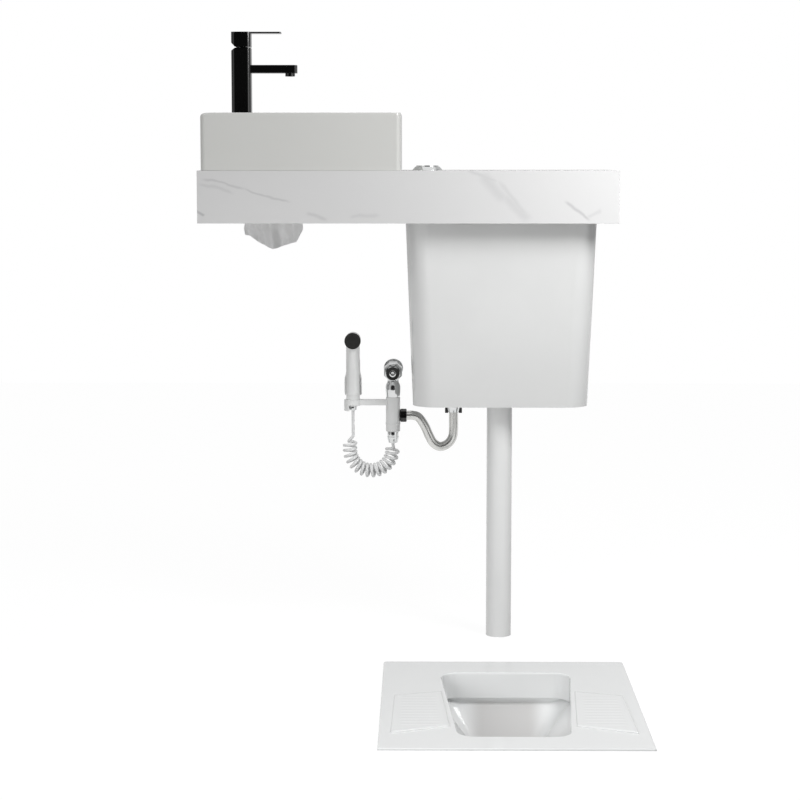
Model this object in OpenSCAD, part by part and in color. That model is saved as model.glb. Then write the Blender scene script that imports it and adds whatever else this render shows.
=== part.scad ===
// Squat toilet with a wall-hung counter, wash basin, cistern and hand spray.
// Millimetres, +Z up. X runs to the right along the wall, the wall face is Y = 0, the room is towards -Y.
// The origin is the middle of the cistern's two wall bolts. Heights are heights over the finished floor.

/* [Counter] */
// Width of the counter along the wall
counter_w = 800; // [760:5:1000]
// Depth of the counter from the wall
counter_d = 220; // [216:2:260]
// Height of the counter's top over the floor
counter_top_h = 924; // [900:1:960]
// Height of the counter's front face
apron_h = 100; // [96:1:120]
// Thickness of the stone slabs
slab_t = 12; // [10:0.5:14]
// From the cistern's side at its top to the counter's right end
counter_end = 34; // [28:1:60]
// Thickness of the panel that closes the underside
panel_t = 6; // [6:0.5:8]
// Width of a wall bracket
bracket_w = 20; // [16:1:20]
// Thickness of the bracket steel
bracket_t = 5; // [4:0.5:6]
// Radius of a wall-plate hole in a bracket
bracket_hole_r = 4.5; // [3:0.25:5]

/* [Tissue holder] */
// From the mixer's axis to the tip-out tray's left end
tray_end = 1.5; // [0:0.5:4]
// Depth of the tip-out tray
tray_d = 135; // [130:1:138]
// From the basin drain's axis to the tray's right end
tray_gap = 47.5; // [46:0.5:52]
// Thickness of the tray plate
tray_t = 3; // [2.5:0.25:3]
// From the tray's end to the end of the slot that the tissue hangs from
slot_end = 7; // [6:0.5:9]
// Opening of the slot, front to back
slot_d = 24; // [20:1:28]
// How far the tissue hangs below the counter
tissue_hang = 55; // [40:1:70]
// Height of the tissue pack
pack_h = 50; // [40:1:52]

/* [Basin] */
// From the basin's end to the push button's axis
basin_gap = 50.5; // [48:0.5:60]
// Depth of the basin from front to back
basin_d = 215; // [213:1:216]
// Height of the basin over the counter
basin_h = 109; // [104:1:120]
// Thickness of the basin's outer walls
basin_wall = 12; // [10:0.5:14]
// Radius of the basin's upright corners
basin_corner_r = 10; // [6:1:14]
// From the counter's left end to the basin
basin_inset = 6.5; // [4:0.5:10]
// Length of the deck that carries the mixer
deck_w = 118; // [114:1:124]
// Depth of the bowl below the rim
bowl_depth = 92; // [86:1:94]
// Radius of the bowl's inner corners
bowl_r = 24; // [18:1:30]
// Radius of the drain hole
drain_r = 23; // [22:0.5:24]

/* [Mixer] */
// Side of the mixer's square body
mixer_side = 38; // [36:0.5:40]
// Height of the mixer over the basin's rim
mixer_h = 157; // [150:1:170]
// From the basin's left end to the mixer's axis
mixer_inset = 70; // [66:1:74]
// Height of the spout's underside over the rim
spout_h = 78; // [72:1:84]
// Reach of the spout from the mixer's axis
spout_reach = 108; // [104:1:120]
// Thickness of the spout
spout_t = 15.5; // [14:0.5:18]
// Width of the spout
spout_w = 27; // [26:0.5:30]
// Reach of the lever plate from the mixer's axis
lever_reach = 77; // [60:1:90]
// Thickness of the lever plate
lever_t = 3; // [2.5:0.25:4]
// Height of the lever head
head_h = 29; // [28:1:32]
// Radius of the ceramic-disc cartridge
cartridge_r = 15.4; // [15:0.1:15.6]
// Outside diameter of a supply hose
supply_d = 9.5; // [9:0.25:9.5]

/* [Cistern] */
// Width of the cistern at its top
cistern_top_w = 372; // [368:1:376]
// Width of the cistern at its bottom
cistern_bottom_w = 342; // [330:1:350]
// Depth of the cistern at its top
cistern_top_d = 181; // [176:1:186]
// Depth of the cistern at its bottom
cistern_bottom_d = 166; // [160:1:172]
// Height of the cistern's underside over the floor
cistern_bottom_h = 465; // [455:1:480]
// From the counter's top down to the cistern's rim
cistern_drop = 74; // [72:1:80]
// Wall thickness of the cistern
cistern_t = 4; // [3.5:0.25:4.5]
// Radius of the cistern's front corners
cistern_r = 44; // [36:1:50]
// Thickness of the lid
lid_t = 5; // [4:0.5:6]
// From the cistern's rim down to its wall bolts
bolt_drop = 70; // [60:1:80]
// Distance between the two wall bolts
bolt_gap = 240; // [200:1:260]
// Radius of a wall bolt hole
bolt_r = 5; // [4:0.25:6]

/* [Flush works] */
// Radius of the hole for the push button
button_hole_r = 25; // [24.5:0.25:26]
// Travel of a flush button
button_travel = 8; // [5:0.5:8]
// From the valve's axis back to the rocker pin
valve_arm = 107; // [104:1:110]
// From the rocker pin to the button rods
button_arm = 36; // [34:0.5:38]
// Distance of the valve and buttons from the wall
works_y = 105; // [103:0.5:108]
// Outside radius of the valve stem
stem_r = 12; // [11:0.25:12.5]
// From the valve's axis to the fill valve
fill_x = 90; // [86:1:94]
// Distance of the fill valve and stop valve from the wall
valve_y = 60; // [58:0.5:64]
// Travel of the float
float_travel = 10; // [6:0.5:10]

/* [Flush pipe] */
// Outside diameter of the flush pipe
pipe_d = 50; // [49:0.25:50.5]
// Wall thickness of the flush pipe
pipe_t = 2; // [1.5:0.25:3]
// Centreline radius of the buried elbow
elbow_r = 35; // [34:1:38]
// Depth of the buried pipe's axis below the floor
buried_h = 66; // [64:1:68]

/* [Pan] */
// Width of the pan
pan_w = 450; // [440:2:470]
// Length of the pan
pan_l = 515; // [510:5:560]
// From the wall to the pan's back edge
pan_back = 317; // [312:1:326]
// Height of the pan's rim over the floor
rim_up = 3; // [2:0.5:4]
// Thickness of the pan's glazed top
rim_t = 14; // [12:1:16]
// Thickness of the pan's bowl wall
pan_t = 10; // [8:0.5:12]
// Length of the opening
opening_l = 375; // [365:5:395]
// Depth from the rim to the ledge inside the bowl
ledge_depth = 48; // [44:1:52]
// Depth of the bowl's floor below the finished floor
pan_depth = 160; // [150:1:175]
// Outside radius of the waste outlet
outlet_r = 54; // [50:0.5:55]
// Height of a tread rib
rib_h = 1.2; // [0.8:0.1:2]

/* [Stop valve and hand spray] */
// From the flush pipe's axis to the stop valve
stop_x = 211; // [208:1:214]
// From the side outlet up to the stop valve's axis
stop_up = 88; // [86:1:96]
// Radius of the white valve body
diverter_r = 14.3; // [13.5:0.1:15]
// From the cistern's underside down to the side outlet
outlet_drop = 30; // [27:1:34]
// From the flush pipe's axis to the hand spray
spray_x = 291; // [288:1:294]
// From the holder arm up to the centre of the spray face
face_up = 130; // [116:1:144]
// Radius of the black spray face
face_r = 16.2; // [15:0.2:17]
// Radius of the spray's handle
handle_r = 13.6; // [12.5:0.1:14]
// From the side outlet up to the holder arm
arm_up = 21; // [19:0.5:24]
// Thickness of the holder arm
arm_t = 11; // [9:0.5:12]

/* [Hoses] */
// Outside diameter of the braided hose
braid_d = 18.5; // [17:0.25:19]
// Outside diameter of the curly hose's tube
curl_d = 6; // [5.5:0.1:6.2]
// Radius of the curls, to the tube's middle
curl_r = 11.75; // [11:0.25:12]
// Number of curls
curls = 16; // [12:1:17]

/* [Fits] */
// Running clearance on the radius
run_gap = 0.05; // [0.02:0.01:0.1]
// Clearance of a loose piece in its place
loose_gap = 0.5; // [0.3:0.05:0.6]
// Gap between a moving piece and its stop at rest
seat_gap = 0.3; // [0.3:0.05:0.5]

/* [Hidden] */
$fn = 64;
hull_fn = 32;
cut = 1;
cistern_top_h = counter_top_h - cistern_drop;
bolt_h = cistern_top_h - bolt_drop;

// Places along the counter
counter_right = cistern_top_w / 2 + counter_end;
counter_left = counter_right - counter_w;
counter_under = counter_top_h - slab_t;
apron_bottom = counter_top_h - apron_h;
panel_lift = 2;
panel_bottom = apron_bottom + panel_lift;
panel_right = -cistern_top_w / 2 - 19;
pivot_x = -valve_arm;
button_x = pivot_x - button_arm;

// Places of the basin
basin_left = counter_left + basin_inset;
basin_w = button_x - basin_gap - basin_left;
basin_back = 2;
basin_mid_x = basin_left + basin_w / 2;
basin_mid_y = -basin_back - basin_d / 2;
rim_h = counter_top_h + basin_h;
rim_margin = basin_wall + 2;
bowl_left = basin_left + deck_w;
bowl_right = basin_left + basin_w - rim_margin;
bowl_front = -basin_back - basin_d + rim_margin;
bowl_back = -basin_back - rim_margin;
bowl_floor = rim_h - bowl_depth;
bowl_t = 10;
tap_hole_r = 17.5;
plug_stem_r = 2.5;
drain_x = (bowl_left + bowl_right) / 2;
tail_r = drain_r - loose_gap;
tail_bottom = counter_under - 28;
waste_r = 16;
waste_bend_r = 26;
waste_top = tail_bottom - 4;

// Places of the mixer
mixer_x = basin_left + mixer_inset;
mixer_y = basin_mid_y;
mixer_top = rim_h + mixer_h;
joint_h = mixer_top - head_h;
body_top = joint_h - 1.6;
notch_in = 9;
notch_up = 8.6;
tilt_x = -6;
tilt_h = joint_h + 5;
tilt_pin_r = 1.5;
edge_r = 3;
aerator_r = 9.5;
aerator_x = spout_reach - 14;
cartridge_floor = body_top - 40;
cartridge_top = body_top - 10;
neck_r = 10;
spindle_r = 9.2;
stud_x = -9;
stud_r = 4;
tail_x = 6;
tail_gap = 6.5;
hose_hole_x = mixer_x - 24;
hose_hole_y = -81;
hose_hole_r = 22;

// Places of the tissue tray
tray_left = mixer_x - tray_end;
tray_w = drain_x - tray_gap - tray_left;
slot_w = tray_w - 2 * slot_end;
tray_mid = tray_left + tray_w / 2;
hinge_y = -47;
hinge_h = panel_bottom + panel_t / 2;
hinge_pin_r = 1.5;
knuckle_r = panel_t / 2;
tray_back = hinge_y - 5;
tray_wall = 1.6;
slot_y = tray_back - tray_d / 2 + 2;
sheet_top = panel_bottom + tray_t;

// Places of the cistern and flush works
valve_floor = cistern_bottom_h + cistern_t;
pocket_h = 44;
pocket_r = 52;
pocket_top = cistern_bottom_h + pocket_h;
outlet_thread_r = 29;
pivot_h = cistern_top_h - 35;
rocker_t = 3;
rocker_half_h = 3;
rocker_off = stem_r + 5;
rod_off = 9;
rod_r = 3;
rod_gap = 0.8;
lift_gap = 1;
button_r = button_hole_r - 3.4;
bezel_in_r = button_hole_r - 3;
button_top = counter_top_h + 9;
button_skirt_h = 12;
bezel_floor_t = 3;
spring_solid_h = 20;
bezel_floor = button_top - button_skirt_h - button_travel - spring_solid_h - bezel_floor_t;
spring_r = 5.5;
spring_wire = 1.3;
seal_r = 28;
seat_r = 22;
base_flange_r = 42;
base_flange_t = 5;
cage_r = 36;
cage_h = 126;
lift_flange_h = pivot_h + rocker_half_h + lift_gap;
lift_flange_r = stem_r + 8;
half_lug_h = pivot_h - 27;
shank_r = 10.2;
shank_bottom = cistern_bottom_h - 23;
fill_tower_r = 13;
fill_head_h = cistern_top_h - 150;
float_r = 30;
float_h = 70;
float_top = fill_head_h - float_travel - 20;
lever_arm = 30;
lever_pivot_h = fill_head_h + 36;

// Places of the flush pipe and pan
pipe_r = pipe_d / 2;
pipe_top = pocket_top - 6;
pipe_foot = 30;
socket_r = pipe_r + 4;
cone_len = 23;
horn_r = 28;
horn_back = -pan_back - 19;
opening_back_y = -pan_back - 77;
opening_front_y = opening_back_y - opening_l;
opening_back_w = 235;
opening_front_w = 189;
opening_r = 30;
ledge_h = rim_up - ledge_depth;
ledge_in = 6;
drain_y = opening_front_y + 78;
funnel_r = 45;
throat_r = 22;
throat_w = 96;
tread_top = -pan_back - 213;
tread_front = -pan_back - 418;
tread_out = 205;
ribs = 11;

// Places of the stop valve and hand spray
outlet_h = cistern_bottom_h - outlet_drop;
stop_h = outlet_h + stop_up;
neck_h = stop_h - 19;
diverter_top = outlet_h + 37;
diverter_bottom = outlet_h - 32;
nut_bottom = diverter_bottom - 23;
arm_h = outlet_h + arm_up;
face_h = arm_h + face_up;
side_nut_len = 13;
ring_r = 18;
spigot_r = 9;
handle_bottom = arm_h + arm_t;
trigger_pivot_h = face_h - 30;
trigger_y = handle_r + 3.2;
trigger_lean = 6;
inlet_r = 10.3;
barrel_r = 11;
wall_thread = 12;

// Route of the braided hose in X and height, from the side outlet to the wing nut
braid_start = -stop_x + diverter_r + side_nut_len;
braid_route = concat([for (p = [[0, 0], [4.7, 0], [11.7, 0], [23.7, -4], [35.7, -21], [44.7, -41]])
        [braid_start + p[0], outlet_h + p[1]]],
    [for (p = [[-40, -63], [-26, -70], [-11, -64], [-2, -51], [0, -35], [0, -17], [0, 0]])
        [-fill_x + p[0], shank_bottom + p[1]]]);
// Routes of the supply hoses down and back to the wall, X, Y and height
tail_top = [mixer_x, mixer_y, rim_h + 27];
hot_route = [for (p = [[6, 6.5, 0], [6, 6.5, -24], [6, 6.5, -48], [0.5, 11.5, -70], [-12.5, 21.5, -94],
    [-24.5, 31.5, -118], [-28.5, 34.5, -138], [-28.5, 37.5, -154], [-28.5, 47.5, -168], [-28.5, 63.5, -174],
    [-28.5, 79.5, -174], [-28.5, 94.5, -174]]) tail_top + p];
cold_route = [for (p = [[6, -6.5, 0], [6, -6.5, -24], [6, -6.5, -48], [2.5, -2.5, -70], [-5.5, 7.5, -94],
    [-14.5, 18.5, -118], [-17.5, 22.5, -138], [-17.5, 22.5, -165], [-17.5, 25.5, -188], [-17.5, 35.5, -204],
    [-17.5, 51.5, -210], [-17.5, 73.5, -210], [-17.5, 94.5, -210]]) tail_top + p];
// The curly hose hangs in a U of this radius, with this centre height
u_r = (spray_x - stop_x) / 2 + 2.5;
u_h = nut_bottom - 14;
u_left_top = nut_bottom + 4;
u_right_top = nut_bottom - 8;
curl_steps = 8;

function unit(v) = v / norm(v);
function lerp(a, b, t) = a + (b - a) * t;
function spline_point(a, b, c, d, t) =
    0.5 * (2 * b + (c - a) * t + (2 * a - 5 * b + 4 * c - d) * t * t + (3 * b - a - 3 * c + d) * t * t * t);
function spline(p, n) = concat(
    [for (i = [0 : len(p) - 2], k = [0 : n - 1])
        spline_point(p[max(i - 1, 0)], p[i], p[i + 1], p[min(i + 2, len(p) - 1)], k / n)],
    [p[len(p) - 1]]);
function along(p, i) = unit(p[min(i + 1, len(p) - 1)] - p[max(i - 1, 0)]);
function square_to(v, t) = unit(v - (v * t) * t);

// Tube of one radius along the points p; side[i] is a direction across the tube at point i
module tube(p, side, r, n) {
    rows = len(p);
    points = [for (i = [0 : rows - 1]) let (t = along(p, i), u = square_to(side[i], t), v = cross(t, u))
        for (j = [0 : n - 1]) p[i] + r * (u * cos(360 * j / n) + v * sin(360 * j / n))];
    walls = [for (i = [0 : rows - 2], j = [0 : n - 1]) let (k = (j + 1) % n, a = i * n, b = a + n)
        each [[a + j, b + j, a + k], [a + k, b + j, b + k]]];
    near = [for (j = [1 : n - 2]) [0, j, j + 1]];
    far = [for (j = [1 : n - 2]) [0, j + 1, j] + [1, 1, 1] * (rows - 1) * n];
    polyhedron(points, concat(walls, near, far));
}

// Everything is written in heights over the floor and then hung from the wall bolts
module over_floor() {
    translate([0, 0, -bolt_h])
        children();
}

module rounded(w, d, r) {
    square([w - 2 * r, d], center = true);
    square([w, d - 2 * r], center = true);
    for (x = [-1, 1], y = [-1, 1])
        translate([x * (w / 2 - r), y * (d / 2 - r)])
            circle(r);
}

module ring(outer, inner, h) {
    difference() {
        cylinder(r = outer, h = h);
        translate([0, 0, -cut])
            cylinder(r = inner, h = h + 2 * cut);
    }
}

// Cylinder whose axis runs along Y towards the room
module cylinder_y(r, len) {
    rotate([90, 0, 0])
        cylinder(r = r, h = len);
}

module hexagon(flats, h) {
    cylinder(r = flats / 2 / cos(30), h = h, $fn = 6);
}

// Prism with a triangle or other outline in depth and height, running along X
module along_x(outline, len) {
    rotate([90, 0, 90])
        linear_extrude(len)
            polygon(outline);
}

// Outer box of the counter less everything deeper than the slab, which leaves the mitres
module front_wedge() {
    translate([counter_left - cut, 0, 0])
        along_x([[-counter_d - cut, counter_top_h + cut], [-counter_d - cut, counter_under - cut],
            [-counter_d + slab_t + cut, counter_under - cut]], counter_w + 2 * cut);
}

module side_wedge() {
    rotate([90, 0, 0])
        linear_extrude(counter_d + 2 * cut)
            polygon([[-cut, counter_top_h + cut], [-cut, counter_under - cut],
                [slab_t + cut, counter_under - cut]]);
}

module counter_top() {
    color("whitesmoke") over_floor() difference() {
        translate([counter_left, -counter_d, counter_under])
            cube([counter_w, counter_d, slab_t]);
        front_wedge();
        translate([counter_left, cut, 0])
            side_wedge();
        translate([counter_right, cut, 0])
            mirror([1, 0, 0])
                side_wedge();
        translate([drain_x, basin_mid_y, counter_under - cut])
            cylinder(r = drain_r, h = slab_t + 2 * cut);
        translate([hose_hole_x, hose_hole_y, counter_under - cut])
            cylinder(r = hose_hole_r, h = slab_t + 2 * cut);
        translate([button_x, -works_y, counter_under - cut])
            cylinder(r = button_hole_r, h = slab_t + 2 * cut);
    }
}

module front_apron() {
    color("whitesmoke") over_floor() difference() {
        translate([counter_left, 0, 0])
            along_x([[-counter_d, apron_bottom], [-counter_d, counter_top_h],
                [-counter_d + slab_t, counter_under], [-counter_d + slab_t, apron_bottom]], counter_w);
        for (end = [[counter_left, 1], [counter_right, -1]])
            translate([end[0], 0, apron_bottom - cut])
                linear_extrude(apron_h + 2 * cut)
                    polygon([[-end[1] * cut, -counter_d - cut], [-end[1] * cut, -counter_d + slab_t + cut],
                        [end[1] * (slab_t + cut), -counter_d + slab_t + cut]]);
    }
}

module side_apron() {
    difference() {
        rotate([90, 0, 0])
            linear_extrude(counter_d)
                polygon([[0, apron_bottom], [0, counter_top_h], [slab_t, counter_under],
                    [slab_t, apron_bottom]]);
        translate([0, 0, apron_bottom - cut])
            linear_extrude(apron_h + 2 * cut)
                polygon([[-cut, -counter_d - cut], [slab_t + cut, -counter_d - cut],
                    [slab_t + cut, -counter_d + slab_t + cut]]);
    }
}

module side_aprons() {
    color("whitesmoke") over_floor() {
        translate([counter_left, 0, 0])
            side_apron();
        translate([counter_right, 0, 0])
            mirror([1, 0, 0])
                side_apron();
    }
}

// Panel under the left part, with the tray's opening and blind bores for its pins
module bottom_panel() {
    front = -counter_d + slab_t;
    color("white") over_floor() difference() {
        translate([counter_left + slab_t, front, panel_bottom])
            cube([panel_right - counter_left - slab_t, -front, panel_t]);
        translate([tray_left - loose_gap, tray_back - tray_d - 1, panel_bottom - cut])
            cube([tray_w + 2 * loose_gap, tray_d + 1 + hinge_y + knuckle_r + loose_gap - tray_back,
                panel_t + 2 * cut]);
        translate([tray_left - 9, hinge_y, hinge_h])
            rotate([0, 90, 0])
                cylinder(r = hinge_pin_r + run_gap, h = tray_w + 18);
    }
}

// L-shaped steel bracket with a gusset, welded
module wall_bracket() {
    plate_h = 50;
    arm_len = counter_d - slab_t - 8;
    difference() {
        union() {
            translate([-bracket_w / 2, -bracket_t, counter_under - plate_h])
                cube([bracket_w, bracket_t, plate_h]);
            translate([-bracket_w / 2, -arm_len, counter_under - bracket_t])
                cube([bracket_w, arm_len, bracket_t]);
            translate([-bracket_t / 2, 0, 0])
                along_x([[-bracket_t, counter_under - plate_h + 20], [-bracket_t, counter_under - bracket_t],
                    [-arm_len + 30, counter_under - bracket_t]], bracket_t);
        }
        translate([0, cut, counter_under - plate_h + 9])
            cylinder_y(bracket_hole_r, bracket_t + 2 * cut);
    }
}

module wall_brackets() {
    color("silver") over_floor()
        for (x = [counter_left + slab_t + 1 + bracket_w / 2, counter_right - slab_t - 1 - bracket_w / 2])
            translate([x, 0, 0])
                wall_bracket();
}

module tissue_tray() {
    wall_h = 30;
    color("white") over_floor() difference() {
        union() {
            translate([tray_left, tray_back - tray_d, panel_bottom])
                cube([tray_w, tray_d, tray_t]);
            for (x = [tray_left, tray_left + tray_w - tray_wall])
                translate([x, tray_back - tray_d + 6, panel_bottom])
                    cube([tray_wall, tray_d - 12, wall_h]);
            for (y = [tray_back - tray_d + 6, tray_back - 6 - tray_wall])
                translate([tray_left, y, panel_bottom])
                    cube([tray_w, tray_wall, wall_h]);
            for (x = [tray_left, tray_left + tray_w - 10]) {
                translate([x, hinge_y, hinge_h])
                    rotate([0, 90, 0])
                        cylinder(r = knuckle_r, h = 10);
                translate([x, tray_back - cut, panel_bottom])
                    cube([10, hinge_y - tray_back + cut, tray_t]);
            }
        }
        translate([tray_mid - slot_w / 2, slot_y - slot_d / 2, panel_bottom - cut])
            cube([slot_w, slot_d, tray_t + 2 * cut]);
        translate([tray_left - cut, hinge_y, hinge_h])
            rotate([0, 90, 0])
                cylinder(r = hinge_pin_r + run_gap, h = tray_w + 2 * cut);
    }
}

module tray_pins() {
    pin_len = 17;
    color("silver") over_floor()
        for (x = [tray_left - 8.5, tray_left + tray_w + 8.5 - pin_len])
            translate([x, hinge_y, hinge_h])
                rotate([0, 90, 0])
                    cylinder(r = hinge_pin_r, h = pin_len);
}

module tissue_pack() {
    gap = 5;
    color("whitesmoke") over_floor()
        translate([tray_mid, tray_back - tray_d / 2, sheet_top + seat_gap])
            linear_extrude(pack_h)
                rounded(tray_w - 2 * tray_wall - gap, tray_d - 12 - 2 * tray_wall - gap, 6);
}

// Outline of the tissue's free edge: drop below the slot at each share of its width
sheet_edge = [[0, 0.42], [0.12, 0.6], [0.27, 0.74], [0.5, 1], [0.7, 0.9], [0.9, 0.83], [1, 0.45]];
sheet_cols = 28;
sheet_rows = 9;
sheet_t = 0.8;
function edge_drop(u, i = 0) = u <= sheet_edge[i + 1][0] || i == len(sheet_edge) - 2
    ? lerp(sheet_edge[i][1], sheet_edge[i + 1][1],
        (u - sheet_edge[i][0]) / (sheet_edge[i + 1][0] - sheet_edge[i][0]))
    : edge_drop(u, i + 1);
function sheet_point(u, v, side) = [
    tray_mid + (u - 0.5) * (slot_w - 6 + 8 * sin(180 * v) - 4 * v) + 2 * sin(900 * u) * v,
    slot_y + (4.5 + 4.5 * v) * sin(1080 * u + 60 * v) + 3 * v * sin(2300 * u) + side * sheet_t / 2,
    sheet_top - v * edge_drop(u) * (tissue_hang + sheet_top - apron_bottom)];

// Crumpled sheet of tissue, closed front to back around its edge
module tissue_sheet() {
    n = sheet_cols + 1;
    half = n * (sheet_rows + 1);
    points = [for (side = [-1, 1], i = [0 : sheet_rows], j = [0 : sheet_cols])
        sheet_point(j / sheet_cols, i / sheet_rows, side)];
    faces = [for (i = [0 : sheet_rows - 1], j = [0 : sheet_cols - 1]) let (a = i * n + j, b = a + n)
        each [[a, a + 1, b], [a + 1, b + 1, b], [a + half, b + half, a + 1 + half],
            [a + 1 + half, b + half, b + 1 + half]]];
    ends = [for (i = [0, sheet_rows], j = [0 : sheet_cols - 1]) let (a = i * n + j, b = a + 1)
        each i == 0 ? [[a, a + half, b], [b, a + half, b + half]]
            : [[a, b, a + half], [b, b + half, a + half]]];
    sides = [for (i = [0 : sheet_rows - 1], j = [0, sheet_cols]) let (a = i * n + j, b = a + n)
        each j == 0 ? [[a, b, a + half], [b, b + half, a + half]]
            : [[a, a + half, b], [b, a + half, b + half]]];
    color("white") over_floor()
        polyhedron(points, concat(faces, ends, sides));
}

// Space of the bowl, grown by g on its sides and floor
module bowl_space(g) {
    x0 = bowl_left + bowl_r;
    x1 = bowl_right - bowl_r;
    y0 = bowl_front + bowl_r;
    y1 = bowl_back - bowl_r;
    draft = 5;
    low = bowl_floor + bowl_r * cos(180 / hull_fn);
    hull()
        for (x = [x0, x1], y = [y0, y1]) {
            translate([x, y, rim_h - 4])
                cylinder(r = bowl_r + g, h = 4 + (g > 0 ? 0 : cut), $fn = hull_fn);
            translate([x + (x == x0 ? draft : -draft), y + (y == y0 ? draft : -draft), low])
                sphere(r = bowl_r + g, $fn = hull_fn);
        }
}

module basin() {
    deck_t = 12;
    color("white") over_floor() difference() {
        union() {
            difference() {
                translate([basin_mid_x, basin_mid_y, counter_top_h])
                    linear_extrude(basin_h)
                        rounded(basin_w, basin_d, basin_corner_r);
                translate([basin_mid_x, basin_mid_y, counter_top_h - cut])
                    linear_extrude(basin_h - deck_t + cut)
                        rounded(basin_w - 2 * basin_wall, basin_d - 2 * basin_wall, 4);
            }
            bowl_space(bowl_t);
            translate([drain_x, basin_mid_y, counter_top_h])
                cylinder(r = drain_r + 14, h = bowl_floor - counter_top_h);
        }
        bowl_space(0);
        translate([drain_x, basin_mid_y, counter_top_h - cut])
            cylinder(r = drain_r, h = bowl_floor - counter_top_h + 2 * cut);
        translate([mixer_x, mixer_y, rim_h - deck_t - cut])
            cylinder(r = tap_hole_r, h = deck_t + 2 * cut);
    }
}

// Waste flange in the bowl, with a cross that guides the plug's stem
module drain_flange() {
    flange_t = 3;
    inner = tail_r - 2.5;
    color("silver") over_floor() translate([drain_x, basin_mid_y, 0]) {
        translate([0, 0, bowl_floor])
            ring(drain_r + 9, inner, flange_t);
        translate([0, 0, tail_bottom])
            ring(tail_r, inner, bowl_floor - tail_bottom);
        difference() {
            translate([0, 0, bowl_floor - 22])
                union() {
                    cylinder(r = 6, h = 8);
                    for (a = [0, 90])
                        rotate([0, 0, a])
                            translate([-inner - 1, -1.5, 0])
                                cube([2 * inner + 2, 3, 8]);
                }
            translate([0, 0, bowl_floor - 22 - cut])
                cylinder(r = plug_stem_r + run_gap, h = 8 + 2 * cut);
        }
    }
}

// Click plug: a shallow dome on its stem
module drain_plug() {
    color("silver") over_floor() translate([drain_x, basin_mid_y, 0]) {
        translate([0, 0, bowl_floor + 3 + seat_gap])
            cylinder(r1 = drain_r + 7, r2 = drain_r + 6, h = 2);
        translate([0, 0, bowl_floor + 5 + seat_gap])
            cylinder(r1 = drain_r + 6, r2 = drain_r - 2, h = 2.5);
        translate([0, 0, bowl_floor - 34])
            cylinder(r = plug_stem_r, h = 38);
    }
}

// Waste bend from the basin's tail back to the wall
module waste_bend() {
    sleeve_r = tail_r + 3.5;
    start = waste_top - 4;
    axis_h = start - waste_bend_r;
    inner = waste_r - 2;
    color("white") over_floor() translate([drain_x, basin_mid_y, 0]) {
        translate([0, 0, waste_top])
            ring(sleeve_r, tail_r + run_gap, 18);
        translate([0, 0, start])
            ring(sleeve_r, inner, waste_top - start);
        translate([0, waste_bend_r, start])
            rotate([-90, 0, -90])
                rotate_extrude(angle = 90)
                    translate([waste_bend_r, 0])
                        difference() {
                            circle(waste_r);
                            circle(inner);
                        }
        translate([0, -basin_mid_y, axis_h])
            rotate([90, 0, 0])
                ring(waste_r, inner, -basin_mid_y - waste_bend_r);
    }
}

// Square bar with rounded long edges, standing on its end
module square_bar(side, h) {
    linear_extrude(h)
        rounded(side, side, edge_r);
}

// Body of the mixer with its spout, the groove behind the lever head and its bores
module mixer_body() {
    half = mixer_side / 2;
    color("black") over_floor() translate([mixer_x, mixer_y, 0]) difference() {
        union() {
            translate([0, 0, rim_h])
                square_bar(mixer_side, body_top - rim_h);
            translate([half - 2, -spout_w / 2, rim_h + spout_h])
                cube([spout_reach - half + 2, spout_w, spout_t]);
        }
        rotate([90, 0, 0])
            translate([0, 0, -half - cut])
                linear_extrude(mixer_side + 2 * cut)
                    polygon([[-half - cut, body_top - 5.6], [-half + notch_in, body_top],
                        [-half + notch_in, body_top + cut], [-half - cut, body_top + cut]]);
        translate([0, 0, cartridge_floor])
            cylinder(r = cartridge_r + run_gap, h = body_top - cartridge_floor + cut);
        translate([0, 0, rim_h + spout_h + spout_t / 2])
            rotate([0, 90, 0])
                cylinder(r = 5, h = aerator_x);
        translate([0, 0, rim_h + spout_h + spout_t / 2 - 5])
            cylinder(r = 5, h = cartridge_floor - rim_h - spout_h + spout_t / 2 + cut);
        translate([aerator_x, 0, rim_h + spout_h - cut])
            cylinder(r = aerator_r + run_gap, h = 8 + cut);
        translate([stud_x, 0, rim_h - cut])
            cylinder(r = stud_r + run_gap, h = 20 + cut);
        for (y = [-tail_gap, tail_gap])
            translate([tail_x, y, rim_h - cut])
                cylinder(r = supply_d / 2 + 2 * run_gap, h = 30 + cut);
    }
}

module mixer_aerator() {
    color("dimgray") over_floor()
        translate([mixer_x + aerator_x, mixer_y, rim_h + spout_h - 6])
            difference() {
                cylinder(r = aerator_r, h = 13.5);
                translate([0, 0, -cut])
                    cylinder(r = aerator_r - 1.5, h = 3 + cut);
                for (x = [-4, 0, 4], y = [-4, 0, 4])
                    translate([x, y, 0])
                        cylinder(r = 1.2, h = 14.5);
            }
}

// Ceramic-disc cartridge with its narrower neck
module mixer_cartridge() {
    color("ivory") over_floor() translate([mixer_x, mixer_y, 0]) {
        translate([0, 0, cartridge_floor])
            cylinder(r = cartridge_r, h = cartridge_top - cartridge_floor);
        translate([0, 0, cartridge_top])
            cylinder(r = neck_r, h = 5);
    }
}

module cartridge_nut() {
    color("goldenrod") over_floor()
        translate([mixer_x, mixer_y, cartridge_top])
            ring(cartridge_r, neck_r + run_gap, 8);
}

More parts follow.
